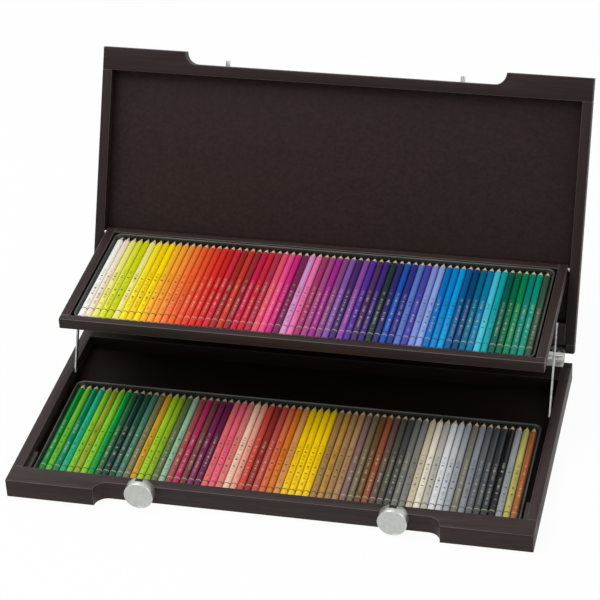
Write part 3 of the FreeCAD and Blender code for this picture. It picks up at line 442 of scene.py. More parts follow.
def make_spray_group():
    """Sprayed paint: a fine orange peel and a slow change of tone."""
    tree, given, made = new_group("sprayed_paint")
    spot = given.outputs["Vector"]
    peel = noise(tree, spot, SPRAY_PEEL, PEEL_DETAIL)
    tone = spread(tree, noise(tree, spot, SPRAY_CLOUDS, SPRAY_CLOUD_DETAIL), SPRAY_LIMITS)
    colour = mixed(tree, tone, given.outputs["Dark"], given.outputs["Light"])
    rough = calc(tree, "MULTIPLY_ADD", tone, SPRAY_DULLS, given.outputs["Rough"])
    wire(tree, made.inputs["Color"], colour)
    wire(tree, made.inputs["Roughness"], rough)
    wire(tree, made.inputs["Height"], peel)
    return tree


sprayed_paint = make_spray_group()


def sprayed_steel(name, tones, rough, metal):
    """Sheet steel under a thin sprayed coat."""
    material, shader = new_finish(name, sprayed_paint, ALONG_X, EVEN, tones, rough, SPRAY_RELIEF)
    shader.inputs["Metallic"].default_value = metal
    return material


def ring_step(inward, rise):
    """Carries the selected face inwards and up, leaving a band of wall behind it."""
    bpy.ops.mesh.inset(thickness=max(inward, 0.0), depth=0.0, use_even_offset=True)
    bpy.ops.transform.translate(value=(0.0, 0.0, rise))


def splay_sides(wide, splay, middle):
    """Draws the selected face in at its two ends, so that the side walls lean."""
    share = 1 - 2 * splay / wide
    bpy.ops.transform.resize(value=(share, 1.0, 1.0), center_override=tuple(middle))


def roll_bead(steps, half_reach, half_height):
    """Rolls the edge of the selected face inwards over the bead, and says where it ends."""
    at = (0.0, 0.0)
    for step in range(1, steps + 1):
        angle = step * math.pi / 2 / TIN_BEAD_STEPS
        there = (half_reach * (1 - math.cos(angle)), half_height * math.sin(angle))
        ring_step(there[0] - at[0], there[1] - at[1])
        at = there
    return at


def press_tin(node, body):
    """A tin pressed into its part's place, from the widest line of its bead both ways."""
    low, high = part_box(node)
    middle = (low + high) / 2
    half_bead = TIN_BEAD_HEIGHT / 2
    half_reach = TIN_BEAD_REACH / 2
    widest = high.z - half_bead
    bpy.ops.object.select_all(action="DESELECT")
    bpy.ops.mesh.primitive_plane_add(size=1.0, location=(middle.x, middle.y, widest))
    tin = bpy.context.object
    tin.name = node + "_finished"
    bpy.ops.transform.resize(value=(high.x - low.x, high.y - low.y, 1.0))
    bpy.ops.object.transform_apply(location=True, scale=True)
    bpy.ops.object.mode_set(mode="EDIT")
    bpy.ops.mesh.select_all(action="SELECT")
    bpy.ops.mesh.bevel(offset=TIN_CORNER, segments=TIN_CORNER_SEGMENTS, affect="VERTICES")
    bpy.ops.mesh.select_all(action="SELECT")
    at = roll_bead(2 * TIN_BEAD_STEPS - 1, half_reach, half_bead)
    ring_step(TIN_BEAD_REACH - at[0] + TIN_SHEET / 2, -half_bead)
    ring_step(TIN_SHEET / 2, low.z + TIN_SHEET + TIN_FOOT - (widest + at[1] - half_bead))
    splay_sides(high.x - low.x, TIN_SIDE_SPLAY, middle)
    ring_step(TIN_FOOT, -TIN_FOOT)
    bpy.ops.mesh.select_mode(type="EDGE")
    bpy.ops.mesh.select_all(action="DESELECT")
    bpy.ops.mesh.select_non_manifold()
    bpy.ops.mesh.edge_face_add()
    bpy.ops.mesh.select_mode(type="FACE")
    at = roll_bead(TIN_BEAD_STEPS, half_reach, -half_bead)
    ring_step(TIN_BEAD_REACH - at[0], 0.0)
    ring_step(TIN_SHEET / 2, low.z + TIN_FOOT - (widest + at[1]))
    splay_sides(high.x - low.x, TIN_SIDE_SPLAY, middle)
    ring_step(TIN_FOOT, -TIN_FOOT)
    bpy.ops.mesh.select_all(action="SELECT")
    bpy.ops.mesh.normals_make_consistent(inside=False)
    tin.data.materials.append(tin_paint)
    tin.data.materials.append(tin_rim_worn_and_lit)
    # The bead's top faces take the lighter rim colour: partly wear, partly a painted highlight.
    choose(tin, faces=lambda spot, normal: spot.z > high.z - TIN_BEAD_HEIGHT)
    tin.active_material_index = 1
    bpy.ops.object.material_slot_assign()
    bpy.ops.object.mode_set(mode="OBJECT")
    bpy.ops.object.shade_smooth_by_angle(angle=SMOOTH)
    fit(tin, node, body)


tin_paint = sprayed_steel("tin_paint", TIN_GREEN, TIN_ROUGH, 0.0)
tin_rim_worn_and_lit = sprayed_steel("tin_rim_worn_and_lit", TIN_RIM_WORN_AND_LIT, TIN_RIM_ROUGH, TIN_RIM_METAL)
press_tin("lower_tin", "base")


# The lower row of pencils, sixty-six round cedar pencils side by side in the tin with their
# points to the back: turned, dipped in lacquer, ringed near the butt, stamped with small
# foil marks and sharpened to a coloured lead.
BARREL = 0.0039
PENCIL_SIDES = 12
LOWER_FIRST = -0.264875
LOWER_PITCH = 0.00815
LOWER_AXIS = 0.00935
LOWER_BUTT = -0.1282
PENCIL_LENGTH = 0.174
CONE_LENGTH = 0.0115
LEAD_LENGTH = 0.0032
LEAD_START = 0.0013
LEAD_TIP = 0.00035
BUTT_EASE = 0.0005
BUTT_SEGMENTS = 2
FACING = 0.9
RING_AT = 0.0162
RING_WIDE = 0.0013
FOIL_FROM = 0.024
FOIL_TO = 0.100
FOIL_TURN = 0.47
FOIL_HALF_TURN = 0.05
SPOTS_AT = (0.046, 0.058, 0.084)
SPOT_HALF = 0.0009
DASHES = 950.0
DASH_DETAIL = 1.0
DASH_FROM = 0.5
DASH_FAINT = 0.5
CLUSTERS = 90.0
CLUSTER_DETAIL = 0.0
CLUSTER_FROM = 0.42
CLUSTER_SHIFT = 5.0
PRINT_SHOWS = 0.95
PALE_PRINT_FADES = 0.3
SCALLOPS = 6
SCALLOP_DEPTH = 0.0006
SCALLOP_SHIFT = 0.0004
FIBRES_ALONG = 60.0
FIBRES_ROUND = 40.0
FIBRE_DETAIL = 3.0
LEAD_SHADE = (0.72, 0.72, 0.72, 1.0)
LACQUER_ROUGH = 0.3
LACQUER_COAT = 0.12
LACQUER_COAT_ROUGH = 0.2
LACQUER_GLOSS = 0.2
LACQUER_PEEL = 400.0
LACQUER_RELIEF = (0.08, 0.0002)
CEDAR_DULLS = 0.35
LOT_STEP = 3.7
ROLL_SEED = 7
ROLL_MOST = math.radians(7)
SEEN_WEIGHTS = (0.3, 0.6, 0.1)
PALE_PRINT_BELOW = 0.2
PALE_PRINT_GREEN = 0.12
# The ring and foil marks are real print; their colour is a painted reflection of the metal foil,
# dark on pale pencils and light on dark ones.
FOIL_DARK_REFLECTION = (58, 48, 34)
FOIL_LIGHT_REFLECTION = (206, 196, 166)
CEDAR_DARK = (194, 168, 132)
CEDAR_LIGHT = (236, 217, 186)
LACQUERS = {
    "deep green": (0, 132, 50), "leaf green": (100, 186, 44), "dark emerald": (0, 130, 88),
    "jade": (20, 172, 124), "may green": (128, 196, 46), "olive": (150, 166, 34),
    "lime": (132, 202, 44), "emerald": (0, 158, 60), "forest": (38, 98, 56),
    "black green": (24, 58, 50), "pine": (34, 78, 64), "juniper": (68, 122, 98),
    "olive brown": (118, 116, 80), "ochre gold": (208, 158, 42), "bright lime": (166, 206, 36),
    "olive lime": (142, 178, 34), "dark olive": (94, 114, 68), "grey green": (150, 190, 160),
    "brick": (160, 78, 76), "raspberry": (176, 52, 92), "maroon": (120, 66, 66),
    "wine": (124, 44, 86), "wine purple": (100, 36, 74), "muted coral": (228, 112, 116),
    "coral pink": (238, 104, 128), "dusty rose": (222, 128, 122), "peach": (248, 208, 182),
    "light salmon": (238, 166, 146), "brick red": (204, 78, 66), "red brown": (152, 52, 46),
    "indian red": (192, 82, 76), "terracotta": (218, 112, 72), "burnt orange": (216, 122, 38),
    "brown orange": (216, 152, 88), "gold yellow": (248, 206, 14), "yellow": (248, 210, 10),
    "bright yellow": (252, 216, 8), "yellow gold": (246, 206, 14), "tan brown": (164, 130, 76),
    "gold ochre": (186, 142, 66), "raw umber": (166, 130, 84), "tan": (172, 136, 96),
    "mauve brown": (132, 106, 100), "olive grey": (118, 106, 80), "dark brown": (110, 80, 48),
    "warm brown": (148, 84, 56), "purple brown": (104, 82, 74), "olive slate": (84, 82, 72),
    "dark slate": (74, 77, 75), "medium grey": (114, 114, 110), "grey": (132, 132, 126),
    "beige grey": (208, 196, 168), "cream white": (240, 233, 214), "warm grey": (190, 186, 175),
    "pale grey": (226, 229, 230), "cool grey": (200, 205, 208), "mid cool grey": (138, 144, 151),
    "dark warm grey": (122, 119, 108), "steel grey": (160, 166, 170), "dark grey": (94, 100, 105),
    "very dark slate": (70, 76, 80), "blue black": (52, 58, 62), "black": (26, 26, 28),
    "silver": (150, 155, 158), "light gold": (186, 180, 100), "copper": (166, 98, 56),
}
LOWER_ROW = (
    "deep green", "leaf green", "dark emerald", "jade", "may green", "olive", "lime", "emerald",
    "forest", "black green", "pine", "juniper", "olive brown", "ochre gold", "bright lime",
    "olive lime", "dark olive", "grey green", "brick", "raspberry", "maroon", "wine",
    "wine purple", "muted coral", "coral pink", "dusty rose", "peach", "light salmon",
    "brick red", "red brown", "indian red", "terracotta", "burnt orange", "brown orange",
    "gold yellow", "yellow", "bright yellow", "yellow gold", "tan brown", "gold ochre",
    "raw umber", "tan", "mauve brown", "olive grey", "dark brown", "warm brown", "purple brown",
    "olive slate", "dark slate", "medium grey", "grey", "beige grey", "cream white", "warm grey",
    "pale grey", "cool grey", "steel grey", "dark warm grey", "mid cool grey", "dark grey",
    "very dark slate", "blue black", "black", "silver", "light gold", "copper",
)
LOWER_GROUP = 11


def make_pencil_material():
    """Lacquer, ring, foil marks, bare cedar and lead, laid along the pencil by its wrap map."""
    material, tree, shader = new_material("pencil_finish")
    wrap = place(tree, "UVMap", {}, uv_map="wrap")
    parts = place(tree, "SeparateXYZ", {0: wrap.outputs[0]})
    turn = parts.outputs[0]
    run = calc(tree, "MULTIPLY", parts.outputs[1], PENCIL_LENGTH)
    lacquer = place(tree, "Attribute", {}, attribute_name="lacquer", attribute_type="GEOMETRY")
    lot = place(tree, "Attribute", {}, attribute_name="lot", attribute_type="GEOMETRY")
    lot_parts = place(tree, "SeparateXYZ", {0: lot.outputs["Vector"]})
    pale, number = lot_parts.outputs[0], lot_parts.outputs[1]

    def own_noise(along, across, detail):
        """A noise that runs along the pencil and differs from one pencil to the next."""
        sides = {0: calc(tree, "MULTIPLY", run, along), 1: number, 2: across}
        return noise(tree, place(tree, "CombineXYZ", sides).outputs[0], 1.0, detail)

    dash = calc(tree, "GREATER_THAN", own_noise(DASHES, 0.0, DASH_DETAIL), DASH_FROM)
    clusters = own_noise(CLUSTERS, CLUSTER_SHIFT, CLUSTER_DETAIL)
    stamped = calc(tree, "MULTIPLY", dash, calc(tree, "GREATER_THAN", clusters, CLUSTER_FROM))
    stamped = calc(tree, "MULTIPLY", stamped, calc(tree, "GREATER_THAN", run, FOIL_FROM))
    stamped = calc(tree, "MULTIPLY", stamped, calc(tree, "LESS_THAN", run, FOIL_TO))
    stamped = calc(tree, "MULTIPLY", stamped, DASH_FAINT)
    for spot_at in SPOTS_AT:
        stamped = calc(tree, "MAXIMUM", stamped, calc(tree, "COMPARE", run, spot_at, SPOT_HALF))
    stamp_side = calc(tree, "COMPARE", turn, FOIL_TURN, FOIL_HALF_TURN)
    stamped = calc(tree, "MULTIPLY", stamped, stamp_side)
    marks = calc(tree, "MAXIMUM", stamped, calc(tree, "COMPARE", run, RING_AT, RING_WIDE / 2))
    shown = calc(tree, "MULTIPLY_ADD", pale, -PALE_PRINT_FADES, PRINT_SHOWS)
    # The foil's painted reflection: dark on pale lacquer, light on dark lacquer.
    foil = mixed(tree, pale, paint(*FOIL_DARK_REFLECTION), paint(*FOIL_LIGHT_REFLECTION))
    barrel = mixed(tree, calc(tree, "MULTIPLY", marks, shown), lacquer.outputs["Color"], foil)

    scallop = calc(tree, "SINE", calc(tree, "MULTIPLY", turn, 2 * math.pi * SCALLOPS))
    dip = PENCIL_LENGTH - CONE_LENGTH + SCALLOP_SHIFT
    bare = calc(tree, "GREATER_THAN", run, calc(tree, "MULTIPLY_ADD", scallop, SCALLOP_DEPTH, dip))
    fibres = own_noise(FIBRES_ALONG, calc(tree, "MULTIPLY", turn, FIBRES_ROUND), FIBRE_DETAIL)
    cedar = mixed(tree, fibres, paint(*CEDAR_DARK), paint(*CEDAR_LIGHT))
    wooded = mixed(tree, bare, barrel, cedar)
    lead = calc(tree, "GREATER_THAN", run, PENCIL_LENGTH - LEAD_LENGTH)
    lead_colour = mixed(tree, 1.0, lacquer.outputs["Color"], LEAD_SHADE, "MULTIPLY")
    rough = calc(tree, "MULTIPLY_ADD", bare, CEDAR_DULLS, LACQUER_ROUGH)
    coat = calc(tree, "MULTIPLY_ADD", bare, -LACQUER_COAT, LACQUER_COAT)
    peel = noise(tree, own_place(tree), LACQUER_PEEL, PEEL_DETAIL)
    relief = {"Height": peel, "Strength": LACQUER_RELIEF[0], "Distance": LACQUER_RELIEF[1]}
    wire(tree, shader.inputs["Base Color"], mixed(tree, lead, wooded, lead_colour))
    wire(tree, shader.inputs["Roughness"], rough)
    wire(tree, shader.inputs["Coat Weight"], coat)
    wire(tree, shader.inputs["Normal"], place(tree, "Bump", relief).outputs[0])
    shader.inputs["Coat Roughness"].default_value = LACQUER_COAT_ROUGH
    shader.inputs["Specular IOR Level"].default_value = LACQUER_GLOSS
    return material


def turn_pencil():
    """One pencil along Y, its butt at nothing: barrel, eased butt, cone and lead."""
    barrel_length = PENCIL_LENGTH - CONE_LENGTH
    bpy.ops.object.select_all(action="DESELECT")
    bpy.ops.mesh.primitive_cylinder_add(
        vertices=PENCIL_SIDES, radius=BARREL, depth=barrel_length,
        location=(0, barrel_length / 2, 0), rotation=(math.pi / 2, 0.0, 0.0),
    )
    pencil = bpy.context.object
    pencil.name = "pencil_pattern"
    bpy.ops.object.transform_apply(location=True, rotation=True)
    choose(pencil, edges=lambda start, end: start.y < TOUCH and end.y < TOUCH)
    bpy.ops.mesh.bevel(offset=BUTT_EASE, segments=BUTT_SEGMENTS, profile=EASE_ROUND)
    choose(pencil, faces=lambda spot, normal: normal.y > FACING)
    steps = ((CONE_LENGTH - LEAD_LENGTH, LEAD_START / BARREL), (LEAD_LENGTH, LEAD_TIP / LEAD_START))
    reach = barrel_length
    for length, shrink in steps:
        reach += length
        bpy.ops.mesh.extrude_region_move(TRANSFORM_OT_translate={"value": (0.0, length, 0.0)})
        bpy.ops.transform.resize(value=(shrink, 1.0, shrink), center_override=(0.0, reach, 0.0))
    bpy.ops.object.mode_set(mode="OBJECT")
    bpy.ops.object.shade_smooth_by_angle(angle=SMOOTH)
    wrap = pencil.data.uv_layers[0]
    wrap.name = "wrap"
    points = pencil.data.vertices
    for face in pencil.data.polygons:
        middle = math.atan2(-face.center.x, face.center.z)
        for corner in face.loop_indices:
            spot = points[pencil.data.loops[corner].vertex_index].co
            turn = math.atan2(-spot.x, spot.z)
            turn += 2 * math.pi * round((middle - turn) / (2 * math.pi))
            wrap.data[corner].uv = (turn / (2 * math.pi) + 0.5, spot.y / PENCIL_LENGTH)
    return pencil


pencil_finish = make_pencil_material()
pencil_pattern = turn_pencil()
pencil_pattern.data.materials.append(pencil_finish)
rolls = random.Random(ROLL_SEED)


def lay_pencil(name, number, spot):
    """A pencil of one colour laid in its place, rolled a little, as they come to lie."""
    pencil = bpy.data.objects.new("laid_pencil", pencil_pattern.data.copy())
    bpy.context.scene.collection.objects.link(pencil)
    hold(pencil)
    pencil.rotation_euler.y = rolls.uniform(-ROLL_MOST, ROLL_MOST)
    pencil.location = spot
    bpy.ops.object.transform_apply(location=True, rotation=True)
    colour = paint(*LACQUERS[name])
    bright = sum(weight * tone for weight, tone in zip(SEEN_WEIGHTS, colour))
    pale_print = 1.0 if bright < PALE_PRINT_BELOW or colour[1] < PALE_PRINT_GREEN else 0.0
    count = len(pencil.data.vertices)
    lacquer = pencil.data.color_attributes.new(name="lacquer", type="FLOAT_COLOR", domain="POINT")
    lacquer.data.foreach_set("color", colour * count)
    lot = pencil.data.attributes.new(name="lot", type="FLOAT_VECTOR", domain="POINT")
    lot.data.foreach_set("vector", (pale_print, LOT_STEP * number, 0.0) * count)
    return pencil


def lay_row(row, group_name, group_size, body, first, pitch, butt, axis):
    """A row of pencils laid side by side, joined into the groups of their parts."""
    for group in range(len(row) // group_size):
        laid = []
        for number in range(group * group_size, (group + 1) * group_size):
            spot = (first + number * pitch, butt, axis)
            laid.append(lay_pencil(row[number], number, spot))
        bpy.ops.object.select_all(action="DESELECT")
        for pencil in laid:
            pencil.select_set(True)
        bpy.context.view_layer.objects.active = laid[0]
        bpy.ops.object.join()
        piece = bpy.context.object
        node = f"{group_name}_{group + 1}"
        piece.name = node + "_finished"
        fit(piece, node, body)


lay_row(LOWER_ROW, "lower_pencils", LOWER_GROUP, "base",
        LOWER_FIRST, LOWER_PITCH, LOWER_BUTT, LOWER_AXIS)


# The swing arms: a flat bar of bright steel at each side, turning on a headed pin in the
# case's side board, with another pin at its top end that carries the tray's front.
METAL_EASE = 0.00025
PIN_EASE = 0.00012
FINE_EASE = 0.0001
SHORTEST_METAL = 0.00015
BRUSH_MARKS = (60, 4200, 4200)
BRUSH_DETAIL = 2.0
BRUSH_LIMITS = (0.3, 0.7)
BRUSH_SHARE = 0.4
DULL_PATCHES = 160.0
PATCH_DETAIL = 4.0
PATCH_LIMITS = (0.35, 0.65)
PATCH_DULLS = 0.14
BRUSH_RELIEF = (0.06, 0.0001)
STEEL = ((142, 142, 141), (202, 202, 200))
STEEL_ROUGH = 0.24
ALONG_ARM = (math.radians(-62), 0.0, 0.0)


def make_brushed_group():
    """Brushed metal: fine drawn scratches, clouds of tone, and duller patches."""
    tree, given, made = new_group("brushed_metal")
    spot = given.outputs["Vector"]
    drawn = drawn_noise(tree, spot, BRUSH_MARKS, BRUSH_DETAIL)
    streaks = spread(tree, drawn, BRUSH_LIMITS)
    patches = spread(tree, noise(tree, spot, DULL_PATCHES, PATCH_DETAIL), PATCH_LIMITS)
    tone = calc(tree, "MULTIPLY", patches, 1 - BRUSH_SHARE)
    tone = calc(tree, "MULTIPLY_ADD", streaks, BRUSH_SHARE, tone)
    colour = mixed(tree, tone, given.outputs["Dark"], given.outputs["Light"])
    rough = calc(tree, "MULTIPLY_ADD", patches, PATCH_DULLS, given.outputs["Rough"])
    wire(tree, made.inputs["Color"], colour)
    wire(tree, made.inputs["Roughness"], rough)
    wire(tree, made.inputs["Height"], drawn)
    return tree


brushed_metal = make_brushed_group()


def brushed(name, tones, rough, turn=ALONG_X, scale=EVEN):
    """Bare metal with the marks of the brush or the drawing die."""
    material, shader = new_finish(name, brushed_metal, turn, scale, tones, rough, BRUSH_RELIEF)
    shader.inputs["Metallic"].default_value = 1.0
    return material


def finish_metal(node, body, faces, width=METAL_EASE):
    """A metal part from its own mesh, its arrises broken by a fine bevel."""
    piece = copy_of(node)
    piece.data.materials.append(faces)
    piece.data.materials.append(faces)
    ease(piece, width, shortest=SHORTEST_METAL)
    fit(piece, node, body)


bright_steel = brushed("bright_steel", STEEL, STEEL_ROUGH, ALONG_ARM)
for side in ("left", "right"):
    finish_metal("strut_lower_pin_" + side, "base", bright_steel, PIN_EASE)
    finish_metal("strut_" + side, "strut_" + side, bright_steel)


# The hinges: two butt hinges of nickelled steel behind the case, each a pair of leaves
# rolled round one pin in five knuckles and held by six countersunk screws.
HINGE = ((206, 208, 202), (220, 222, 215))
HINGE_ROUGH = 0.48
HINGE_MARKS = (0.25, 0.25, 0.25)
hinge_steel = brushed("hinge_steel", HINGE, HINGE_ROUGH, ALONG_X, HINGE_MARKS)
for side in ("left", "right"):
    finish_metal("hinge_base_leaf_" + side, "base", hinge_steel, PIN_EASE)
    finish_metal("hinge_pin_" + side, "base", hinge_steel, PIN_EASE)
    finish_metal("hinge_base_screws_" + side, "base", hinge_steel, FINE_EASE)
    finish_metal("hinge_lid_leaf_" + side, "lid", hinge_steel, PIN_EASE)
    finish_metal("hinge_lid_screws_" + side, "lid", hinge_steel, FINE_EASE)


# The latch knobs: turned aluminium buttons on steel spindles in the front board's recess.
# A raised lip runs round the flat brushed face, and a groove behind, open at the top
# through a milled slot, takes the lid's pin and holds it when the knob is turned.
KNOB_SIDES = 72
KNOB_LIP_WIDTH = 0.0013
KNOB_LIP_HEIGHT = 0.0009
KNOB_GROOVE_OUTER = 0.0147
KNOB_GROOVE_INNER = 0.0083
KNOB_GROOVE_DEPTH = 0.0067
KNOB_SLOT_WIDTH = 0.0087
KNOB_BORE = 0.0026
KNOB_BORE_DEPTH = 0.0073
KNOB_OVERCUT = 1.02
KNOB_EASE = 0.0003
KNOB_MARKS = (1.8, 1.8, 1.8)
KNOB = ((180, 182, 178), (203, 205, 201))
KNOB_ROUGH = 0.34
# Painted highlight: the knob's eased edges, round the lip, the groove and the bore, are painted
# lighter.
KNOB_RIM_HIGHLIGHT = ((196, 198, 195), (228, 230, 227))
KNOB_RIM_ROUGH = 0.24
knob_aluminium = brushed("knob_aluminium", KNOB, KNOB_ROUGH, ALONG_X, KNOB_MARKS)
knob_edge_highlight = brushed("knob_rim_highlight", KNOB_RIM_HIGHLIGHT, KNOB_RIM_ROUGH)


def sink(inward, depth):
    """Insets the selected round face and moves it along the spindle, back for a plus."""
    bpy.ops.mesh.inset(thickness=inward, depth=0.0)
    bpy.ops.mesh.extrude_region_move(TRANSFORM_OT_translate={"value": (0.0, depth, 0.0)})


def turn_knob(node):
    """A knob in its part's place: face and lip, groove, hub and bore, then the slot."""
    low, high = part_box(node)
    middle = (low + high) / 2
    radius = (high.z - low.z) / 2
    bpy.ops.object.select_all(action="DESELECT")
    bpy.ops.mesh.primitive_cylinder_add(
        vertices=KNOB_SIDES, radius=radius, depth=high.y - low.y, location=middle,
        rotation=(math.pi / 2, 0.0, 0.0),
    )
    knob = bpy.context.object
    knob.name = node + "_finished"
    bpy.ops.object.transform_apply(location=True, rotation=True)
    choose(knob, faces=lambda spot, normal: normal.y < -FACING)
    sink(KNOB_LIP_WIDTH, KNOB_LIP_HEIGHT)
    choose(knob, faces=lambda spot, normal: normal.y > FACING and spot.y > high.y - TOUCH)
    sink(radius - KNOB_GROOVE_OUTER, -KNOB_GROOVE_DEPTH)
    sink(KNOB_GROOVE_OUTER - KNOB_GROOVE_INNER, KNOB_GROOVE_DEPTH)
    sink(KNOB_GROOVE_INNER - KNOB_BORE, -KNOB_BORE_DEPTH)
    bpy.ops.object.mode_set(mode="OBJECT")
    knob.data.materials.append(knob_aluminium)
    knob.data.materials.append(knob_edge_highlight)
    ease(knob, KNOB_EASE, shortest=FINE_EASE)
    slot_low = middle.z + KNOB_GROOVE_INNER + KNOB_EASE
    slot_high = high.z + KNOB_LIP_HEIGHT
    bpy.ops.mesh.primitive_cube_add(
        size=1.0, location=(middle.x, high.y - KNOB_GROOVE_DEPTH / 2, (slot_low + slot_high) / 2)
    )
    cutter = bpy.context.object
    cutter.scale = (KNOB_SLOT_WIDTH, KNOB_GROOVE_DEPTH * KNOB_OVERCUT, slot_high - slot_low)
    bpy.ops.object.transform_apply(location=True, scale=True)
    hold(knob)
    cut = knob.modifiers.new("slot", "BOOLEAN")
    cut.operation = "DIFFERENCE"
    cut.object = cutter
    bpy.ops.object.modifier_apply(modifier=cut.name)
    bpy.data.objects.remove(cutter)
    bpy.ops.object.shade_smooth_by_angle(angle=SMOOTH)
    fit(knob, node, node)


for side in ("left", "right"):
    finish_metal("knob_spindle_" + side, "base", bright_steel, FINE_EASE)
    turn_knob("knob_" + side)


# The lid: the same frame of stained boards as the case, with a thin panel let into it. It
# leans back on the hinges, and two steel pins stand in its recessed front edge.
LID_LEAN = math.radians(116.8)
LID_ACROSS = (LID_LEAN, 0.0, 0.0)
LID_ALONG = (LID_LEAN, 0.0, math.radians(-90))
# Painted shade: the lid's boards and panel are the case's wood painted darker.
LID_SHADED = ((33, 24, 22), (47, 37, 34))
# The lid's eased edges: painted lighter for rubbed wear and a painted highlight, and darker than the
# case's for painted shade.
LID_EDGES_WORN_LIT_SHADED = ((50, 39, 36), (78, 66, 62))
PANEL_SHADED = ((33, 23, 21), (49, 38, 35))
PANEL_SPECKLE = (22.0, 0.8, 0.8)
PANEL_ROUGH = 0.5
PANEL_GLOSS = 0.12
lid_across = board_woods("lid_wood_across", LID_ACROSS, LID_SHADED, LID_EDGES_WORN_LIT_SHADED)
lid_along = board_woods("lid_wood_along", LID_ALONG, LID_SHADED, LID_EDGES_WORN_LIT_SHADED)
panel_wood = stained_wood(
    "lid_panel_wood", LID_ACROSS, PANEL_SHADED, PANEL_ROUGH, PANEL_GLOSS, PANEL_SPECKLE
)
finish_board("lid_front_board", "lid", lid_across)
finish_board("lid_side_board_left", "lid", lid_along)
finish_board("lid_side_board_right", "lid", lid_along)
finish_board("lid_back_board", "lid", lid_across)
finish_board("lid_hinge_board", "lid", lid_across)
finish_board("lid_panel", "lid", (panel_wood, panel_wood))
for side in ("left", "right"):
    finish_metal("latch_pin_" + side, "lid", bright_steel)


# The tray: four stained rails butted together round a thin floor, hung on two steel pins in
# the lid's sides at its back corners and on the swing arms' top pins further forward.
# Painted shade: the tray's rails are the case's wood painted darker.
TRAY_SHADED = ((41, 31, 29), (57, 46, 43))
# The tray's eased edges: painted lighter than the case's, partly rubbed wear and partly a stronger
# painted highlight along the rails.
TRAY_EDGES_WORN_AND_LIT = ((78, 67, 63), (112, 101, 96))
tray_across = board_woods("tray_wood_across", ALONG_X, TRAY_SHADED, TRAY_EDGES_WORN_AND_LIT)
tray_along = board_woods("tray_wood_along", ALONG_Y, TRAY_SHADED, TRAY_EDGES_WORN_AND_LIT)
finish_board("tray_front_rail", "tray", tray_across)
finish_board("tray_back_rail", "tray", tray_across)
finish_board("tray_side_rail_left", "tray", tray_along)
finish_board("tray_side_rail_right", "tray", tray_along)
# The tray floor takes the darker inside wood, painted shade under the tin.
finish_board("tray_floor", "tray", (shaded_inside_wood, shaded_inside_wood))
for side in ("left", "right"):
    finish_metal("tray_pivot_pin_" + side, "lid", bright_steel, FINE_EASE)
    finish_metal("strut_upper_pin_" + side, "tray", bright_steel, PIN_EASE)


# The upper tin: a second tray pressed from the same thin steel sheet, a little narrower, with
# the same rolled bead and sprayed coat. It lies loose on the tray's floor, inside its rails.
press_tin("upper_tin", "tray")


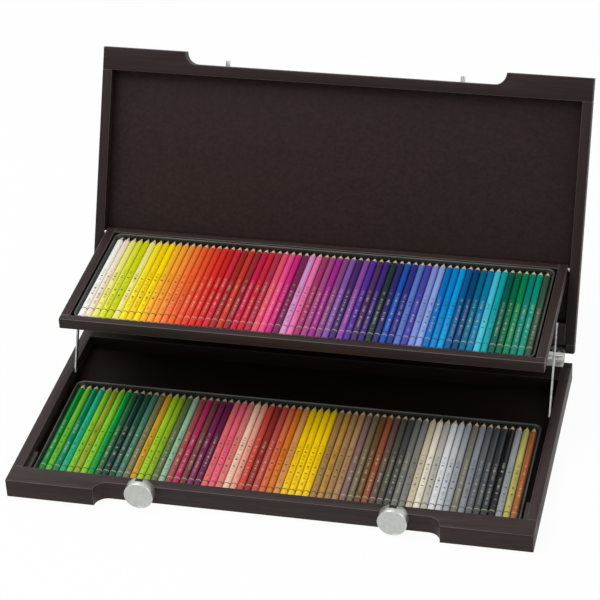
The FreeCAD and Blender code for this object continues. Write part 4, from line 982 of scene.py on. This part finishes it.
# The upper row of pencils: sixty-four more, from white and yellow through red, violet and
# blue to green, laid in the upper tin like those below.
UPPER_FIRST = -0.256725
UPPER_AXIS = 0.11175
UPPER_BUTT = 0.035095
UPPER_GROUP = 8
LACQUERS.update({
    "white": (250, 249, 246), "ivory": (246, 232, 208), "pale cream": (242, 236, 132),
    "lemon lime": (226, 230, 56), "lime yellow": (208, 216, 10), "pale yellow": (244, 236, 136),
    "lemon": (250, 234, 40), "deep yellow": (248, 214, 12), "sun yellow": (254, 228, 0),
    "golden yellow": (246, 188, 44), "orange yellow": (248, 168, 52), "light orange": (246, 150, 60),
    "coral orange": (244, 126, 60), "orange": (238, 104, 46), "orange red": (230, 84, 44),
    "scarlet": (226, 66, 44), "red": (220, 52, 42), "deep red": (204, 38, 34),
    "rose red": (210, 44, 60), "dark red": (164, 44, 44), "rust red": (204, 58, 44),
    "dark maroon": (158, 46, 54), "crimson": (200, 34, 74), "crimson red": (204, 40, 62),
    "dull crimson": (178, 52, 76), "rose pink": (232, 86, 112), "pink": (238, 80, 142),
    "magenta": (206, 42, 126), "plum": (122, 40, 86), "lilac pink": (218, 152, 202),
    "mid pink": (240, 118, 176), "plum red": (166, 58, 106), "mauve": (168, 76, 134),
    "magenta violet": (166, 44, 142), "dusty purple": (140, 72, 130), "lavender": (134, 88, 168),
    "violet blue": (70, 46, 104), "purple": (142, 76, 162), "blue violet": (86, 50, 152),
    "dark purple": (80, 50, 98), "deep violet": (62, 46, 122), "blue black grey": (40, 56, 56),
    "indigo": (48, 46, 106), "ultramarine": (30, 84, 176), "navy": (50, 50, 132),
    "mid blue": (92, 122, 200), "cobalt": (72, 72, 168), "lavender blue": (132, 148, 216),
    "sky blue": (142, 168, 226), "phthalo blue": (0, 112, 190), "cerulean": (0, 136, 206),
    "bright cyan": (0, 158, 222), "deep teal blue": (0, 92, 150), "prussian blue": (0, 70, 120),
    "dark cyan": (0, 104, 140), "mid cyan": (0, 124, 166), "turquoise light": (74, 196, 216),
    "turquoise": (0, 166, 170), "teal dark": (0, 90, 76), "green dark": (0, 104, 68),
    "upper emerald": (0, 130, 84), "teal": (0, 130, 112), "sea green": (0, 146, 120),
    "grey green dark": (58, 82, 62),
})
UPPER_ROW = (
    "white", "ivory", "pale cream", "lemon lime", "lime yellow", "pale yellow", "lemon",
    "deep yellow", "sun yellow", "golden yellow", "orange yellow", "light orange",
    "coral orange", "orange", "orange red", "scarlet", "red", "deep red", "rose red",
    "dark red", "rust red", "dark maroon", "crimson", "crimson red", "dull crimson",
    "rose pink", "pink", "magenta", "plum", "lilac pink", "mid pink", "plum red", "mauve",
    "magenta violet", "dusty purple", "lavender", "violet blue", "purple", "blue violet",
    "dark purple", "deep violet", "blue black grey", "indigo", "ultramarine", "navy",
    "mid blue", "cobalt", "lavender blue", "sky blue", "phthalo blue", "cerulean",
    "bright cyan", "deep teal blue", "prussian blue", "dark cyan", "mid cyan",
    "turquoise light", "turquoise", "teal dark", "green dark", "upper emerald", "teal",
    "sea green", "grey green dark",
)
lay_row(UPPER_ROW, "upper_pencils", UPPER_GROUP, "tray",
        UPPER_FIRST, LOWER_PITCH, UPPER_BUTT, UPPER_AXIS)
bpy.data.objects.remove(pencil_pattern)
